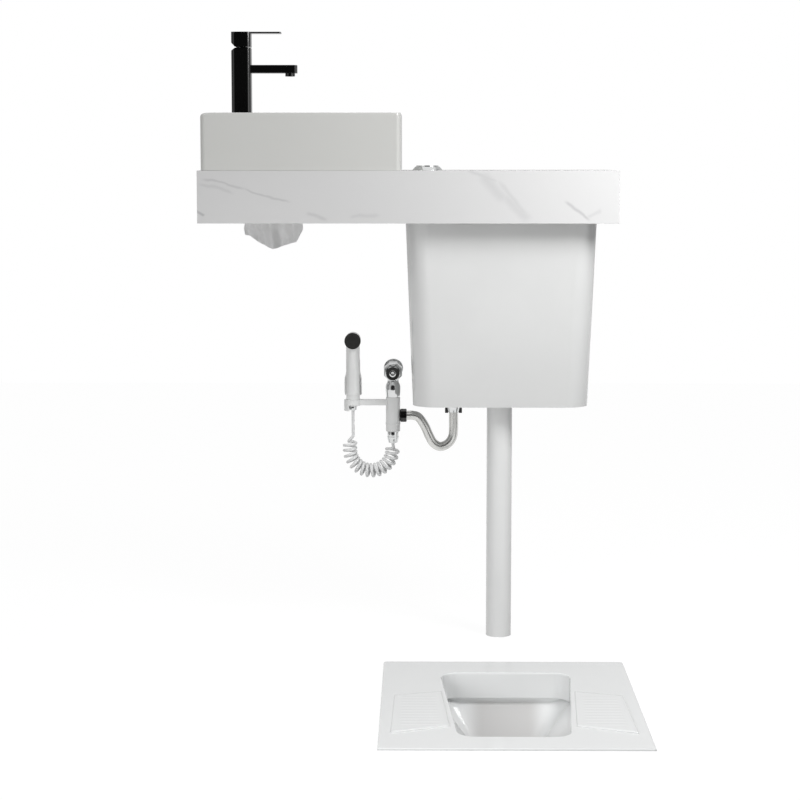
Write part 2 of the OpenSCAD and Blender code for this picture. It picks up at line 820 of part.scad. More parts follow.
// Turning spindle on the cartridge: a disc, and a lug with trunnions that the lever head tilts on
module cartridge_spindle() {
    lug_half = 4;
    cheek_in = 10;
    color("silver") over_floor() translate([mixer_x, mixer_y, 0]) {
        translate([0, 0, cartridge_top + 5 + seat_gap])
            cylinder(r = spindle_r, h = body_top - 1 - cartridge_top - 5 - seat_gap);
        translate([tilt_x - 1, -lug_half, body_top - 1 - cut])
            cube([4, 2 * lug_half, tilt_h - body_top + 1 + cut]);
        translate([tilt_x, lug_half, tilt_h])
            cylinder_y(3.4, 2 * lug_half);
        translate([tilt_x, cheek_in + 3, tilt_h])
            cylinder_y(tilt_pin_r, 2 * (cheek_in + 3));
    }
}

// Lever head with its plate: the groove side is cut away so the head can tilt
module mixer_handle() {
    half = mixer_side / 2;
    recess_h = 16;
    color("black") over_floor() translate([mixer_x, mixer_y, 0]) difference() {
        union() {
            translate([0, 0, joint_h])
                square_bar(mixer_side, head_h);
            translate([0, -spout_w / 2, mixer_top - lever_t])
                cube([lever_reach, spout_w, lever_t]);
        }
        rotate([90, 0, 0])
            translate([0, 0, -half - cut])
                linear_extrude(mixer_side + 2 * cut)
                    polygon([[-half - cut, joint_h + notch_up], [-half + notch_in, joint_h],
                        [-half + notch_in, joint_h - cut], [-half - cut, joint_h - cut]]);
        translate([tilt_x - 4.3, -10, joint_h - cut])
            cube([22, 20, recess_h + cut]);
        translate([tilt_x, 13.4, tilt_h])
            cylinder_y(tilt_pin_r + run_gap, 26.8);
    }
}

// Stud, horseshoe washer and nut under the deck, and the hoses' ends go through the horseshoe
module mixer_fixing() {
    deck_under = rim_h - 12;
    washer_r = tap_hole_r + 6;
    color("silver") over_floor() translate([mixer_x, mixer_y, 0]) {
        translate([stud_x, 0, deck_under - 22])
            cylinder(r = stud_r, h = 42 + 12);
        translate([0, 0, deck_under - 3])
            difference() {
                cylinder(r = washer_r, h = 3);
                translate([stud_x, 0, -cut])
                    cylinder(r = stud_r + run_gap, h = 3 + 2 * cut);
                translate([0, -13, -cut])
                    cube([washer_r + cut, 26, 3 + 2 * cut]);
            }
        translate([stud_x, 0, deck_under - 10])
            difference() {
                hexagon(13, 7 - run_gap);
                translate([0, 0, -cut])
                    cylinder(r = stud_r + run_gap, h = 7 + 2 * cut);
            }
    }
}

module supply_hoses() {
    color("silver") over_floor()
        for (route = [hot_route, cold_route]) {
            p = spline(route, 2);
            tube(p, [for (q = p) [1, 0, 0]], supply_d / 2, 8);
        }
}

// Tapered cistern shell, grown inwards by g
module cistern_form(g) {
    r = cistern_r - g;
    back_r = 6 - min(g, 4);
    low = cistern_bottom_h + g;
    high = cistern_top_h + (g > 0 ? cut : 0) - 1;
    hull()
        for (s = [[cistern_bottom_w, cistern_bottom_d, low], [cistern_top_w, cistern_top_d, high]])
            for (side = [-1, 1]) {
                translate([side * (s[0] / 2 - g - r), -(s[1] - g - r), s[2]])
                    cylinder(r = r, h = 1);
                translate([side * (s[0] / 2 - g - back_r), -g - back_r, s[2]])
                    cylinder(r = back_r, h = 1, $fn = hull_fn);
            }
}

// Tank with a pocket under its floor that hides the outlet nut
module cistern_tank() {
    color("white") over_floor() difference() {
        union() {
            difference() {
                cistern_form(0);
                cistern_form(cistern_t);
            }
            translate([0, -works_y, cistern_bottom_h + 1])
                cylinder(r = pocket_r, h = pocket_h - 1);
        }
        translate([0, -works_y, cistern_bottom_h - cut])
            cylinder(r = pocket_r - cistern_t, h = pocket_h - cistern_t + cut);
        translate([0, -works_y, pocket_top - cistern_t - cut])
            cylinder(r = outlet_thread_r + loose_gap, h = cistern_t + 2 * cut);
        translate([-fill_x, -valve_y, cistern_bottom_h - cut])
            cylinder(r = shank_r + loose_gap, h = cistern_t + 2 * cut);
        for (x = [-bolt_gap / 2, bolt_gap / 2])
            translate([x, cut, bolt_h])
                cylinder_y(bolt_r, cistern_t + 2 * cut);
    }
}

module cistern_lid() {
    over = 4;
    skirt_h = 8;
    lid_w = cistern_top_w + 2 * over;
    lid_d = cistern_top_d + over;
    color("white") over_floor() difference() {
        union() {
            translate([-lid_w / 2, -lid_d, cistern_top_h])
                cube([lid_w, lid_d, lid_t]);
            for (x = [-lid_w / 2, lid_w / 2 - over + loose_gap])
                translate([x, -lid_d, cistern_top_h - skirt_h])
                    cube([over - loose_gap, lid_d, skirt_h + cut]);
            translate([-lid_w / 2, -lid_d, cistern_top_h - skirt_h])
                cube([lid_w, over - loose_gap, skirt_h + cut]);
        }
        translate([button_x, -works_y, cistern_top_h - cut])
            cylinder(r = 20, h = lid_t + 2 * cut);
    }
}

// Bezel of the push button: a low cone over the counter and a threaded tube through it
module button_bezel() {
    color("silver") over_floor() translate([button_x, -works_y, 0]) difference() {
        union() {
            translate([0, 0, counter_top_h])
                cylinder(r1 = button_hole_r + 5, r2 = bezel_in_r + 1.6, h = 7);
            translate([0, 0, bezel_floor])
                cylinder(r = button_hole_r - loose_gap, h = counter_top_h - bezel_floor + cut);
        }
        translate([0, 0, bezel_floor + bezel_floor_t])
            cylinder(r = bezel_in_r, h = counter_top_h - bezel_floor + 10);
        for (y = [-rod_off, rod_off])
            translate([0, y, bezel_floor - cut])
                cylinder(r = rod_r + run_gap, h = bezel_floor_t + 2 * cut);
    }
}

// Half of the round button with its push rod; side is -1 for the front half and 1 for the back half
module push_button(side) {
    split = 2.5;
    gap = 0.35;
    tip_h = pivot_h + rocker_half_h + rod_gap;
    translate([button_x, -works_y, 0]) {
        difference() {
            translate([0, 0, button_top - button_skirt_h])
                cylinder(r = button_r, h = button_skirt_h);
            if (side < 0)
                translate([-button_hole_r, split - gap, button_top - 20])
                    cube([2 * button_hole_r, button_hole_r + 5, 40]);
            else
                translate([-button_hole_r, split + gap - button_hole_r - 5, button_top - 20])
                    cube([2 * button_hole_r, button_hole_r + 5, 40]);
        }
        translate([0, side * rod_off, tip_h + rod_r])
            cylinder(r = rod_r, h = button_top - button_skirt_h + 2 - tip_h - rod_r);
        translate([0, side * rod_off, tip_h + rod_r])
            sphere(r = rod_r);
    }
}

module full_button() {
    color("silver") over_floor()
        push_button(-1);
}

module half_button() {
    color("silver") over_floor()
        push_button(1);
}

// Return spring round a push rod, from the bezel's floor to the button
module button_spring(side) {
    low = bezel_floor + bezel_floor_t + seat_gap;
    translate([button_x, -works_y + side * rod_off, low])
        ring(spring_r, spring_r - spring_wire, button_top - button_skirt_h - seat_gap - low);
}

module full_button_spring() {
    color("gray") over_floor()
        button_spring(-1);
}

module half_button_spring() {
    color("gray") over_floor()
        button_spring(1);
}

// Hub of a rocker with the pad under the push rod; side is -1 in front and 1 behind
module rocker_hub(side) {
    hub_y = side > 0 ? rocker_off + rocker_t + 2 : -1.5;
    pad_y = side > 0 ? 2 : -rocker_off - rocker_t / 2;
    difference() {
        union() {
            translate([pivot_x, -works_y + hub_y, pivot_h])
                cylinder_y(5, rocker_off + rocker_t + 0.5);
            translate([button_x - 6, -works_y + pad_y, pivot_h - rocker_half_h])
                cube([12, rocker_off + rocker_t / 2 - 2, 2 * rocker_half_h]);
            translate([button_x, -works_y + side * rocker_off - rocker_t / 2, pivot_h - rocker_half_h])
                cube([button_arm, rocker_t, 2 * rocker_half_h]);
            children();
        }
        translate([pivot_x, -works_y + 40, pivot_h])
            cylinder_y(2.5 + run_gap, 80);
    }
}

module full_rocker() {
    color("lightsteelblue") over_floor()
        rocker_hub(-1)
            translate([pivot_x, -works_y - rocker_off - rocker_t / 2, pivot_h - rocker_half_h])
                cube([valve_arm, rocker_t, 2 * rocker_half_h]);
}

// The half-flush rocker steps down to a lower finger
module half_rocker() {
    finger_top = half_lug_h - lift_gap;
    step = 34;
    color("lightsteelblue") over_floor()
        rocker_hub(1)
            translate([0, -works_y + rocker_off + rocker_t / 2, 0])
                rotate([90, 0, 0])
                    linear_extrude(rocker_t)
                        polygon([[pivot_x, pivot_h + rocker_half_h], [-step, pivot_h + rocker_half_h],
                            [-step, finger_top], [0, finger_top], [0, finger_top - 6],
                            [-step - 6, finger_top - 6], [-step - 6, pivot_h - rocker_half_h],
                            [pivot_x, pivot_h - rocker_half_h]]);
}

// Bracket that hangs from the lid and carries the rockers' pin
module rocker_bracket() {
    half = rocker_off + rocker_t + 4;
    color("white") over_floor() difference() {
        union() {
            translate([pivot_x - 10, -works_y - half - 3, cistern_top_h - 3])
                cube([20, 2 * half + 6, 3]);
            for (y = [-half - 3, half])
                translate([pivot_x - 7, -works_y + y, pivot_h - 7])
                    cube([14, 3, cistern_top_h - pivot_h + 7 - 1]);
        }
        translate([pivot_x, -works_y + half + 4, pivot_h])
            cylinder_y(2.5 + run_gap, 2 * half + 8);
    }
}

module rocker_pin() {
    half = rocker_off + rocker_t + 7;
    color("silver") over_floor()
        translate([pivot_x, -works_y + half, pivot_h])
            cylinder_y(2.5, 2 * half);
}

// Outlet base with its threaded tail, the windowed cage and the guide for the stem
module flush_tower() {
    base_h = pocket_top + 2;
    color("azure") over_floor() translate([0, -works_y, 0]) difference() {
        union() {
            translate([0, 0, base_h])
                cylinder(r = base_flange_r, h = base_flange_t);
            translate([0, 0, pocket_top - 26])
                cylinder(r = outlet_thread_r, h = 28 + cut);
            translate([0, 0, base_h])
                cylinder(r = cage_r, h = cage_h);
        }
        translate([0, 0, pocket_top - 26 - cut])
            cylinder(r = pipe_r + run_gap, h = 20 + cut);
        translate([0, 0, pocket_top - 26 + 20 - cut])
            cylinder(r = seat_r, h = 40);
        translate([0, 0, base_h + base_flange_t])
            cylinder(r = cage_r - 3, h = cage_h - base_flange_t - 4);
        translate([0, 0, base_h])
            cylinder(r = stem_r + run_gap, h = cage_h + cut);
        for (a = [0, 90])
            rotate([0, 0, a])
                translate([-cage_r - cut, -13, base_h + base_flange_t + 4])
                    cube([2 * cage_r + 2 * cut, 26, 44]);
    }
}

// Lifting stem, open inside so that it is the overflow too
module valve_stem() {
    foot = pocket_top + 2 + base_flange_t + 4;
    color("deepskyblue") over_floor() translate([0, -works_y, 0]) difference() {
        union() {
            translate([0, 0, foot])
                cylinder(r = stem_r, h = lift_flange_h + 3 - foot);
            translate([0, 0, lift_flange_h])
                cylinder(r = lift_flange_r, h = 3);
            translate([0, 0, foot])
                cylinder(r = stem_r + 6, h = 3);
        }
        translate([0, 0, foot - cut])
            cylinder(r = stem_r - 2, h = lift_flange_h - foot + 3 + 2 * cut);
    }
}

module stem_seal() {
    low = pocket_top + 2 + base_flange_t + seat_gap;
    color("firebrick") over_floor()
        translate([0, -works_y, low])
            ring(seal_r, stem_r - 2, 4 - seat_gap);
}

// Sleeve on the stem with the lug that the half-flush rocker lifts
module half_collar() {
    sleeve_h = 22;
    color("yellowgreen") over_floor() translate([0, -works_y, 0]) {
        translate([0, 0, half_lug_h + 4 - sleeve_h])
            ring(stem_r + 2.5, stem_r + run_gap, sleeve_h);
        translate([-6, stem_r + 1.5, half_lug_h])
            cube([12, 7, 4]);
    }
}

// Inlet valve: shank through the floor, tower, and head with the lever's ears
module fill_valve() {
    color("white") over_floor() translate([-fill_x, -valve_y, 0]) difference() {
        union() {
            translate([0, 0, shank_bottom])
                cylinder(r = shank_r, h = valve_floor - shank_bottom + 2 + cut);
            translate([0, 0, valve_floor + 2])
                cylinder(r = 17, h = 5);
            translate([0, 0, valve_floor + 2])
                cylinder(r = fill_tower_r, h = fill_head_h - valve_floor - 2);
            translate([0, 0, fill_head_h])
                cylinder(r = 18, h = 24);
            for (y = [-8, 5])
                translate([-5, y, fill_head_h + 23])
                    cube([10, 3, 18]);
        }
        translate([0, 0, shank_bottom - cut])
            cylinder(r = 6, h = fill_head_h - shank_bottom + 12);
        translate([0, 10, lever_pivot_h])
            cylinder_y(2, 20);
        translate([0, 0, fill_head_h + 6])
            rotate([0, 90, 0])
                cylinder(r = 4, h = 20);
    }
}

// Cup float that slides on the inlet tower and pushes the lever with its rod
module fill_float() {
    color("dodgerblue") over_floor() translate([-fill_x, -valve_y, 0]) {
        translate([0, 0, float_top - float_h])
            difference() {
                cylinder(r = float_r, h = float_h);
                translate([0, 0, -cut])
                    cylinder(r = fill_tower_r + loose_gap, h = float_h + 2 * cut);
                translate([0, 0, -cut])
                    difference() {
                        cylinder(r = float_r - 2.5, h = float_h - 2);
                        cylinder(r = fill_tower_r + 3, h = float_h);
                    }
            }
        translate([-lever_arm + 3, 0, float_top - cut])
            cylinder(r = 2, h = lever_pivot_h + 2 - lift_gap - float_top + cut);
    }
}

// Lever over the inlet valve, with its pin
module float_lever() {
    color("gold") over_floor() translate([-fill_x, -valve_y, lever_pivot_h]) {
        translate([0, 8 - 0.2, 0])
            cylinder_y(2 - run_gap, 16 - 0.4);
        translate([-lever_arm, -4, 2])
            cube([lever_arm + 4, 8, 3]);
        translate([-3, -4, -2])
            cube([6, 8, 5]);
    }
}

// Wing nut that pulls the braided hose to the inlet shank
module inlet_wing_nut() {
    h = 23 - loose_gap;
    color("silver") over_floor() translate([-fill_x, -valve_y, shank_bottom]) difference() {
        union() {
            cylinder(r = 13, h = h);
            for (side = [-1, 1])
                translate([side * 11 - (side > 0 ? 0 : 6), -2, 4])
                    cube([6, 4, h - 4]);
        }
        translate([0, 0, -cut])
            cylinder(r = shank_r + run_gap, h = h + 2 * cut);
    }
}

module flush_pipe() {
    color("white") over_floor()
        translate([0, -works_y, -pipe_foot])
            ring(pipe_r, pipe_r - pipe_t, pipe_top - 3 + pipe_foot);
}

// Buried elbow with a socket at each end
module floor_elbow() {
    start = elbow_r - buried_h;
    socket_len = 22;
    color("white") over_floor() translate([0, -works_y, 0]) {
        translate([0, 0, start])
            difference() {
                cylinder(r = socket_r, h = socket_len);
                translate([0, 0, -cut])
                    cylinder(r = pipe_r - pipe_t, h = socket_len + 2 * cut);
                cylinder(r = pipe_r + run_gap, h = socket_len + cut);
            }
        translate([0, -elbow_r, start])
            rotate([-90, 0, 90])
                rotate_extrude(angle = 90)
                    translate([elbow_r, 0])
                        difference() {
                            circle(pipe_r + 1);
                            circle(pipe_r - pipe_t);
                        }
        translate([0, -elbow_r, start - elbow_r])
            rotate([90, 0, 0])
                difference() {
                    cylinder(r = socket_r, h = socket_len);
                    translate([0, 0, -cut])
                        cylinder(r = pipe_r - pipe_t, h = socket_len + 2 * cut);
                    translate([0, 0, 2])
                        cylinder(r = pipe_r + run_gap, h = socket_len + cut);
                }
    }
}

module buried_pipe() {
    back = works_y + elbow_r + 2;
    color("white") over_floor()
        translate([0, -back, -buried_h])
            rotate([90, 0, 0])
                ring(pipe_r, pipe_r - pipe_t, pan_back + 8 - back);
}

// Rubber cone between the buried pipe and the pan's horn
module inlet_cone() {
    front = pan_back + 8;
    color("dimgray") over_floor() translate([0, -front, -buried_h]) {
        translate([0, 22, 0])
            rotate([90, 0, 0])
                ring(pipe_r + 5, pipe_r + run_gap, 22);
        rotate([90, 0, 0])
            ring(horn_r + 5, pipe_r - pipe_t, 3);
        translate([0, -3, 0])
            rotate([90, 0, 0])
                ring(horn_r + 5, horn_r + run_gap, cone_len);
    }
}

// Outline of the pan's opening, grown by g
module opening_outline(g) {
    hull() {
        for (side = [-1, 1]) {
            translate([side * (opening_back_w / 2 - opening_r), opening_back_y - opening_r])
                circle(opening_r + g, $fn = hull_fn);
            translate([side * (opening_front_w / 2 - opening_r), opening_front_y + opening_r])
                circle(opening_r + g, $fn = hull_fn);
        }
    }
}

// Space of the pan below the ledge, grown by g
module funnel(g) {
    hull() {
        translate([0, 0, ledge_h - 1])
            linear_extrude(1)
                opening_outline(ledge_in + g);
        translate([0, drain_y, -pan_depth - g])
            cylinder(r = funnel_r + g, h = 1, $fn = hull_fn);
        for (side = [-1, 1])
            translate([side * (throat_w / 2 - throat_r), opening_back_y - 90, -pan_depth + 36 - g])
                cylinder(r = throat_r + g, h = 1, $fn = hull_fn);
    }
}

// Foot tread: a slightly raised pad beside the opening with anti-slip ribs
module tread(side) {
    inner_back = opening_back_w / 2 + 1;
    inner_front = opening_front_w / 2 + 12;
    skew = 12;
    mirror([side < 0 ? 1 : 0, 0, 0]) {
        translate([0, 0, rim_up - cut])
            linear_extrude(cut + 0.8)
                polygon([[inner_back, tread_top + skew], [tread_out - 4, tread_top - skew],
                    [tread_out, tread_front - skew - 7], [inner_front, tread_front + skew + 7]]);
        for (i = [0 : ribs - 1])
            translate([inner_back + 10, tread_top - 30 - i * 15.5, rim_up])
                cube([tread_out - inner_back - 24, 7, rib_h]);
    }
}

module squat_pan() {
    box_w = 190;
    color("white") over_floor() difference() {
        union() {
            translate([0, -pan_back - pan_l / 2, rim_up - rim_t])
                linear_extrude(rim_t)
                    rounded(pan_w, pan_l, 5);
            translate([0, -pan_back - pan_l / 2, rim_up - 34])
                linear_extrude(34)
                    difference() {
                        rounded(pan_w, pan_l, 5);
                        rounded(pan_w - 2 * pan_t, pan_l - 2 * pan_t, 5);
                    }
            translate([0, 0, ledge_h - 4])
                linear_extrude(ledge_depth)
                    opening_outline(pan_t + ledge_in);
            funnel(pan_t);
            translate([0, drain_y, -pan_depth - 50])
                cylinder(r = outlet_r, h = 60);
            translate([-box_w / 2 - pan_t, opening_back_y - 12, -buried_h - horn_r])
                cube([box_w + 2 * pan_t, 12 + 42, buried_h + horn_r - 8]);
            translate([0, horn_back, -buried_h])
                cylinder_y(horn_r, 40);
            tread(-1);
            tread(1);
        }
        translate([0, 0, ledge_h - cut])
            linear_extrude(ledge_depth + rib_h + 2 * cut)
                opening_outline(0);
        funnel(0);
        translate([0, drain_y, -pan_depth - 50 - cut])
            cylinder(r = funnel_r, h = 60);
        translate([-box_w / 2, opening_back_y + pan_t, -buried_h - horn_r + pan_t])
            cube([box_w, 24, horn_r + buried_h - pan_t - 18]);
        translate([-box_w / 2, opening_back_y - 30, ledge_h - 14])
            cube([box_w, 30 + pan_t + cut, 9]);
        translate([0, horn_back + cut, -buried_h])
            cylinder_y(horn_r - 6, 40);
    }
}

// Rubber rings: basin drain, cistern outlet and inlet, and the pan's waste outlet
module seals() {
    color("black") over_floor() {
        translate([drain_x, basin_mid_y, counter_under - 3])
            ring(drain_r + 8, tail_r + run_gap, 3);
        translate([0, -works_y, pocket_top])
            ring(base_flange_r - 2, outlet_thread_r + run_gap, 2);
        translate([-fill_x, -valve_y, valve_floor])
            ring(16, shank_r + run_gap, 2);
        translate([0, drain_y, -pan_depth - 50])
            ring(outlet_r + 7, outlet_r + run_gap, 24);
    }
}

// Plastic back nuts: basin drain, push button and cistern outlet
module back_nuts() {
    color("gainsboro") over_floor() {
        translate([drain_x, basin_mid_y, counter_under - 12])
            ring(drain_r + 9, tail_r + run_gap, 9);
        translate([button_x, -works_y, counter_under - 9])
            ring(button_hole_r + 8, button_hole_r - loose_gap + run_gap, 9);
        translate([0, -works_y, pocket_top - cistern_t - 12])
            ring(outlet_thread_r + 9, outlet_thread_r + run_gap, 12);
    }
}

// Chrome hose nuts: two at the wall for the mixer, the side outlet's and the curly hose's
module hose_nuts() {
    color("silver") over_floor() {
        for (end = [hot_route[len(hot_route) - 1], cold_route[len(cold_route) - 1]])
            translate([end[0], 0, end[2]])
                rotate([90, 0, 0])
                    difference() {
                        hexagon(24, 15);
                        translate([0, 0, -cut])
                            cylinder(r = 9.5, h = 12 + cut);
                    }
        translate([-stop_x + diverter_r, -valve_y, outlet_h])
            rotate([0, 90, 0])
                hexagon(23, side_nut_len);
        translate([-stop_x, -valve_y, nut_bottom])
            cylinder(r1 = 9, r2 = 11.4, h = 8);
        translate([-stop_x, -valve_y, nut_bottom + 8])
            cylinder(r = 11.4, h = diverter_bottom - nut_bottom - 8);
    }
}

// Angle valve: barrel from the wall, eight-sided body and the neck down to the diverter
module stop_valve() {
    color("silver") over_floor() translate([-stop_x, 0, 0]) {
        translate([0, 3 + wall_thread, stop_h])
            cylinder_y(inlet_r, wall_thread);
        translate([0, 3 + cut, stop_h])
            cylinder_y(inlet_r - 1, 3 + 2 * cut);
        translate([0, 0, stop_h])
            cylinder_y(barrel_r, 36);
        translate([0, -34, stop_h])
            rotate([90, 22.5, 0])
                cylinder(r = 21, h = valve_y - 34 + 16, $fn = 8);
        translate([0, -valve_y, neck_h - 8])
            cylinder(r = 12, h = 12);
        translate([0, -valve_y, diverter_top + 12])
            cylinder(r = 15, h = neck_h - 8 - diverter_top - 12);
        translate([0, -valve_y, diverter_top])
            cylinder(r1 = 13, r2 = 15, h = 12);
        translate([0, -valve_y - 16, stop_h])
            cylinder_y(15, 6);
    }
}

module wall_flange() {
    color("silver") over_floor()
        translate([-stop_x, 0, stop_h])
            difference() {
                union() {
                    cylinder_y(21, 3);
                    translate([0, -3, 0])
                        cylinder_y(16, 3);
                }
                translate([0, cut, 0])
                    cylinder_y(barrel_r + run_gap, 6 + 2 * cut);
            }
}

// Knob with its stem, turned on the valve's front
module valve_knob() {
    front = valve_y + 16 + 6 + seat_gap;
    color("silver") over_floor() translate([-stop_x, -front, stop_h]) difference() {
        union() {
            cylinder_y(13.2, 14);
            rotate([90, 0, 0])
                for (a = [0 : 60 : 300])
                    rotate([0, 0, a])
                        translate([12.4, 0, 2])
                            cylinder(r = 1.8, h = 12);
            translate([0, -14, 0])
                cylinder_y(6.8, 3);
        }
        translate([0, -14, 0])
            cylinder_y(1.6, 4);
    }
}

module knob_ring() {
    front = valve_y + 16 + 6 + seat_gap + 14;
    color("black") over_floor()
        translate([-stop_x, -front, stop_h])
            rotate([90, 0, 0])
                ring(13.2, 6.8 + run_gap, 2.2);
}

module diverter_body() {
    bore_r = 5;
    color("white") over_floor() translate([-stop_x, -valve_y, 0]) difference() {
        union() {
            translate([0, 0, diverter_bottom])
                cylinder(r = diverter_r, h = diverter_top - diverter_bottom);
            translate([0, 0, diverter_bottom + 14])
                cylinder(r = diverter_r + 0.7, h = 4);
        }
        translate([0, 0, outlet_h - bore_r])
            cylinder(r = bore_r, h = diverter_top - outlet_h + bore_r + cut);
        translate([0, 0, outlet_h])
            rotate([0, 90, 0])
                cylinder(r = bore_r, h = diverter_r + cut);
    }
}

// Arm with the holder ring for the spray and its lip on the left
module spray_holder() {
    arm_w = 20;
    reach = spray_x - stop_x;
    color("white") over_floor() translate([-stop_x, -valve_y, arm_h]) difference() {
        union() {
            translate([-reach, -arm_w / 2, 0])
                cube([reach - diverter_r + 3, arm_w, arm_t]);
            translate([-reach, 0, 0])
                cylinder(r = ring_r, h = arm_t);
            translate([-reach, 0, -11])
                difference() {
                    cylinder(r = ring_r, h = 12);
                    translate([0, 0, -cut])
                        cylinder(r = ring_r - 3, h = 12 + 2 * cut);
                    translate([-8, -ring_r - cut, -cut])
                        cube([2 * ring_r, 2 * ring_r + 2 * cut, 12 + 2 * cut]);
                }
        }
        translate([-reach, 0, -cut])
            cylinder(r = spigot_r + loose_gap, h = arm_t + 2 * cut);
        translate([0, 0, -cut])
            cylinder(r = diverter_r + run_gap, h = arm_t + 2 * cut);
    }
}

// Braided hose from the side outlet down and up to the cistern's inlet
module braided_hose() {
    p = [for (q = spline(braid_route, 2)) [q[0], -valve_y, q[1]]];
    color("silver") over_floor()
        tube(p, [for (q = p) [0, 1, 0]], braid_d / 2, 12);
}

// Spray body: handle, head towards the room and the spigot that hangs in the holder
module spray_body() {
    head_back = 15;
    color("white") over_floor() translate([-spray_x, -valve_y, 0]) difference() {
        union() {
            translate([0, 0, handle_bottom + seat_gap])
                cylinder(r = handle_r, h = face_h - handle_bottom - seat_gap);
            translate([0, head_back, face_h])
                cylinder_y(face_r - 1, head_back + 15);
            translate([0, 0, handle_bottom + 10])
                cylinder(r = handle_r + 0.7, h = 3);
            translate([0, 0, arm_h - 3])
                cylinder(r = spigot_r, h = handle_bottom - arm_h + 4);
            for (x = [-7, 4])
                translate([x, handle_r - 3, trigger_pivot_h - 3.5])
                    cube([3, trigger_y - handle_r + 6, 7]);
        }
        translate([-10, trigger_y, trigger_pivot_h])
            rotate([0, 90, 0])
                cylinder(r = 1.5 + run_gap, h = 20);
    }
}

module spray_face() {
    front = valve_y + 15;
    color("black") over_floor()
        translate([-spray_x, -front, face_h])
            difference() {
                cylinder_y(face_r, 5);
                for (a = [0 : 45 : 315])
                    rotate([0, a, 0])
                        translate([face_r * 0.55, -3, 0])
                            cylinder_y(1, 3);
            }
}

// Trigger behind the handle: a curved pad on an arm with its own trunnions, leaning away at rest
module spray_trigger() {
    len = 72;
    wide_len = 40;
    inner = handle_r + 1.6;
    outer = inner + 2.6;
    top = -10;
    color("white") over_floor() translate([-spray_x, -valve_y + trigger_y, trigger_pivot_h])
        rotate([trigger_lean, 0, 0]) {
            translate([0, -trigger_y, top - len])
                difference() {
                    cylinder(r = outer, h = len);
                    translate([0, 0, -cut])
                        cylinder(r = inner, h = len + 2 * cut);
                    translate([-outer - cut, -outer - cut, -cut])
                        cube([2 * outer + 2 * cut, outer + cut + 3, len + 2 * cut]);
                    translate([-outer - cut, -outer - cut, wide_len])
                        cube([2 * outer + 2 * cut, outer + cut + 11, len]);
                }
            translate([-3.6, -1, top - 2])
                cube([7.2, 2, -top + 2]);
            translate([-3.6, 0, 0])
                rotate([0, 90, 0])
                    cylinder(r = 2.2, h = 7.2);
            translate([-7, 0, 0])
                rotate([0, 90, 0])
                    cylinder(r = 1.5, h = 14);
        }
}

module spray_nut() {
    color("silver") over_floor()
        translate([-spray_x, -valve_y, arm_h - 11])
            cylinder(r = 7.6, h = 8);
}

// Curly hose: a straight end under the spray, the curls round a U, and a straight end up to the valve
u_x = -(spray_x + stop_x) / 2 - 3.7;
u_left_x = u_x - u_r;
u_right_x = u_x + u_r;
u_len = (u_left_top - u_h) + PI * u_r + (u_right_top - u_h);
function u_angle(s) = 180 * max(0, min(1, (s - (u_left_top - u_h)) / (PI * u_r)));
function u_mid(s) = s < u_left_top - u_h ? [u_left_x, u_left_top - s]
    : s < u_left_top - u_h + PI * u_r ? [u_x - u_r * cos(u_angle(s)), u_h - u_r * sin(u_angle(s))]
    : [u_right_x, u_h + s - (u_left_top - u_h) - PI * u_r];
function u_out(s) = [-cos(u_angle(s)), -sin(u_angle(s))];
function curl_size(t) = curl_r * min(1, min(t, curls - t) * 2 + 0.04);
function curl_point(t) =
    let (s = u_len * t / curls, c = u_mid(s), o = u_out(s), r = curl_size(t), a = 360 * t)
    [c[0] + o[0] * r * cos(a), -valve_y + r * sin(a), c[1] + o[1] * r * cos(a)];
curl_path = concat(
    [for (z = [arm_h - 11, nut_bottom + 50, nut_bottom + 35, nut_bottom + 22, nut_bottom + 13])
        [-spray_x, -valve_y, z]],
    [for (i = [1 : curls * curl_steps - 1]) curl_point(i / curl_steps)],
    [[-stop_x, -valve_y, nut_bottom - 5], [-stop_x, -valve_y, nut_bottom]]);
curl_side = [for (i = [0 : len(curl_path) - 1]) let (t = (i - 4) / curl_steps, o = u_out(u_len * t / curls))
    [o[0] * cos(360 * t), sin(360 * t), o[1] * cos(360 * t)]];
least_gap = min([for (i = [0 : len(curl_path) - 1], j = [i + 5 : 1 : len(curl_path) - 1])
    norm(curl_path[i] - curl_path[j])]) - curl_d;

module coil_hose() {
    echo(least_gap_between_curls = least_gap);
    color("white") over_floor()
        tube(curl_path, curl_side, curl_d / 2, 6);
}

counter_top();
front_apron();
side_aprons();
bottom_panel();
wall_brackets();
tissue_tray();
tray_pins();
tissue_pack();
tissue_sheet();
basin();
drain_flange();
drain_plug();
waste_bend();
mixer_body();
mixer_aerator();
mixer_cartridge();
cartridge_nut();
cartridge_spindle();
mixer_handle();
mixer_fixing();
supply_hoses();
cistern_tank();
cistern_lid();
button_bezel();
full_button();
half_button();
full_button_spring();
half_button_spring();
full_rocker();
half_rocker();
rocker_bracket();
rocker_pin();
flush_tower();
valve_stem();
stem_seal();
half_collar();
fill_valve();
fill_float();
float_lever();
inlet_wing_nut();
flush_pipe();
floor_elbow();
buried_pipe();
inlet_cone();
squat_pan();
seals();
back_nuts();
hose_nuts();
stop_valve();
wall_flange();
valve_knob();
knob_ring();
diverter_body();
spray_holder();
braided_hose();
spray_body();
spray_face();
spray_trigger();
spray_nut();
coil_hose();
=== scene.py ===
import math

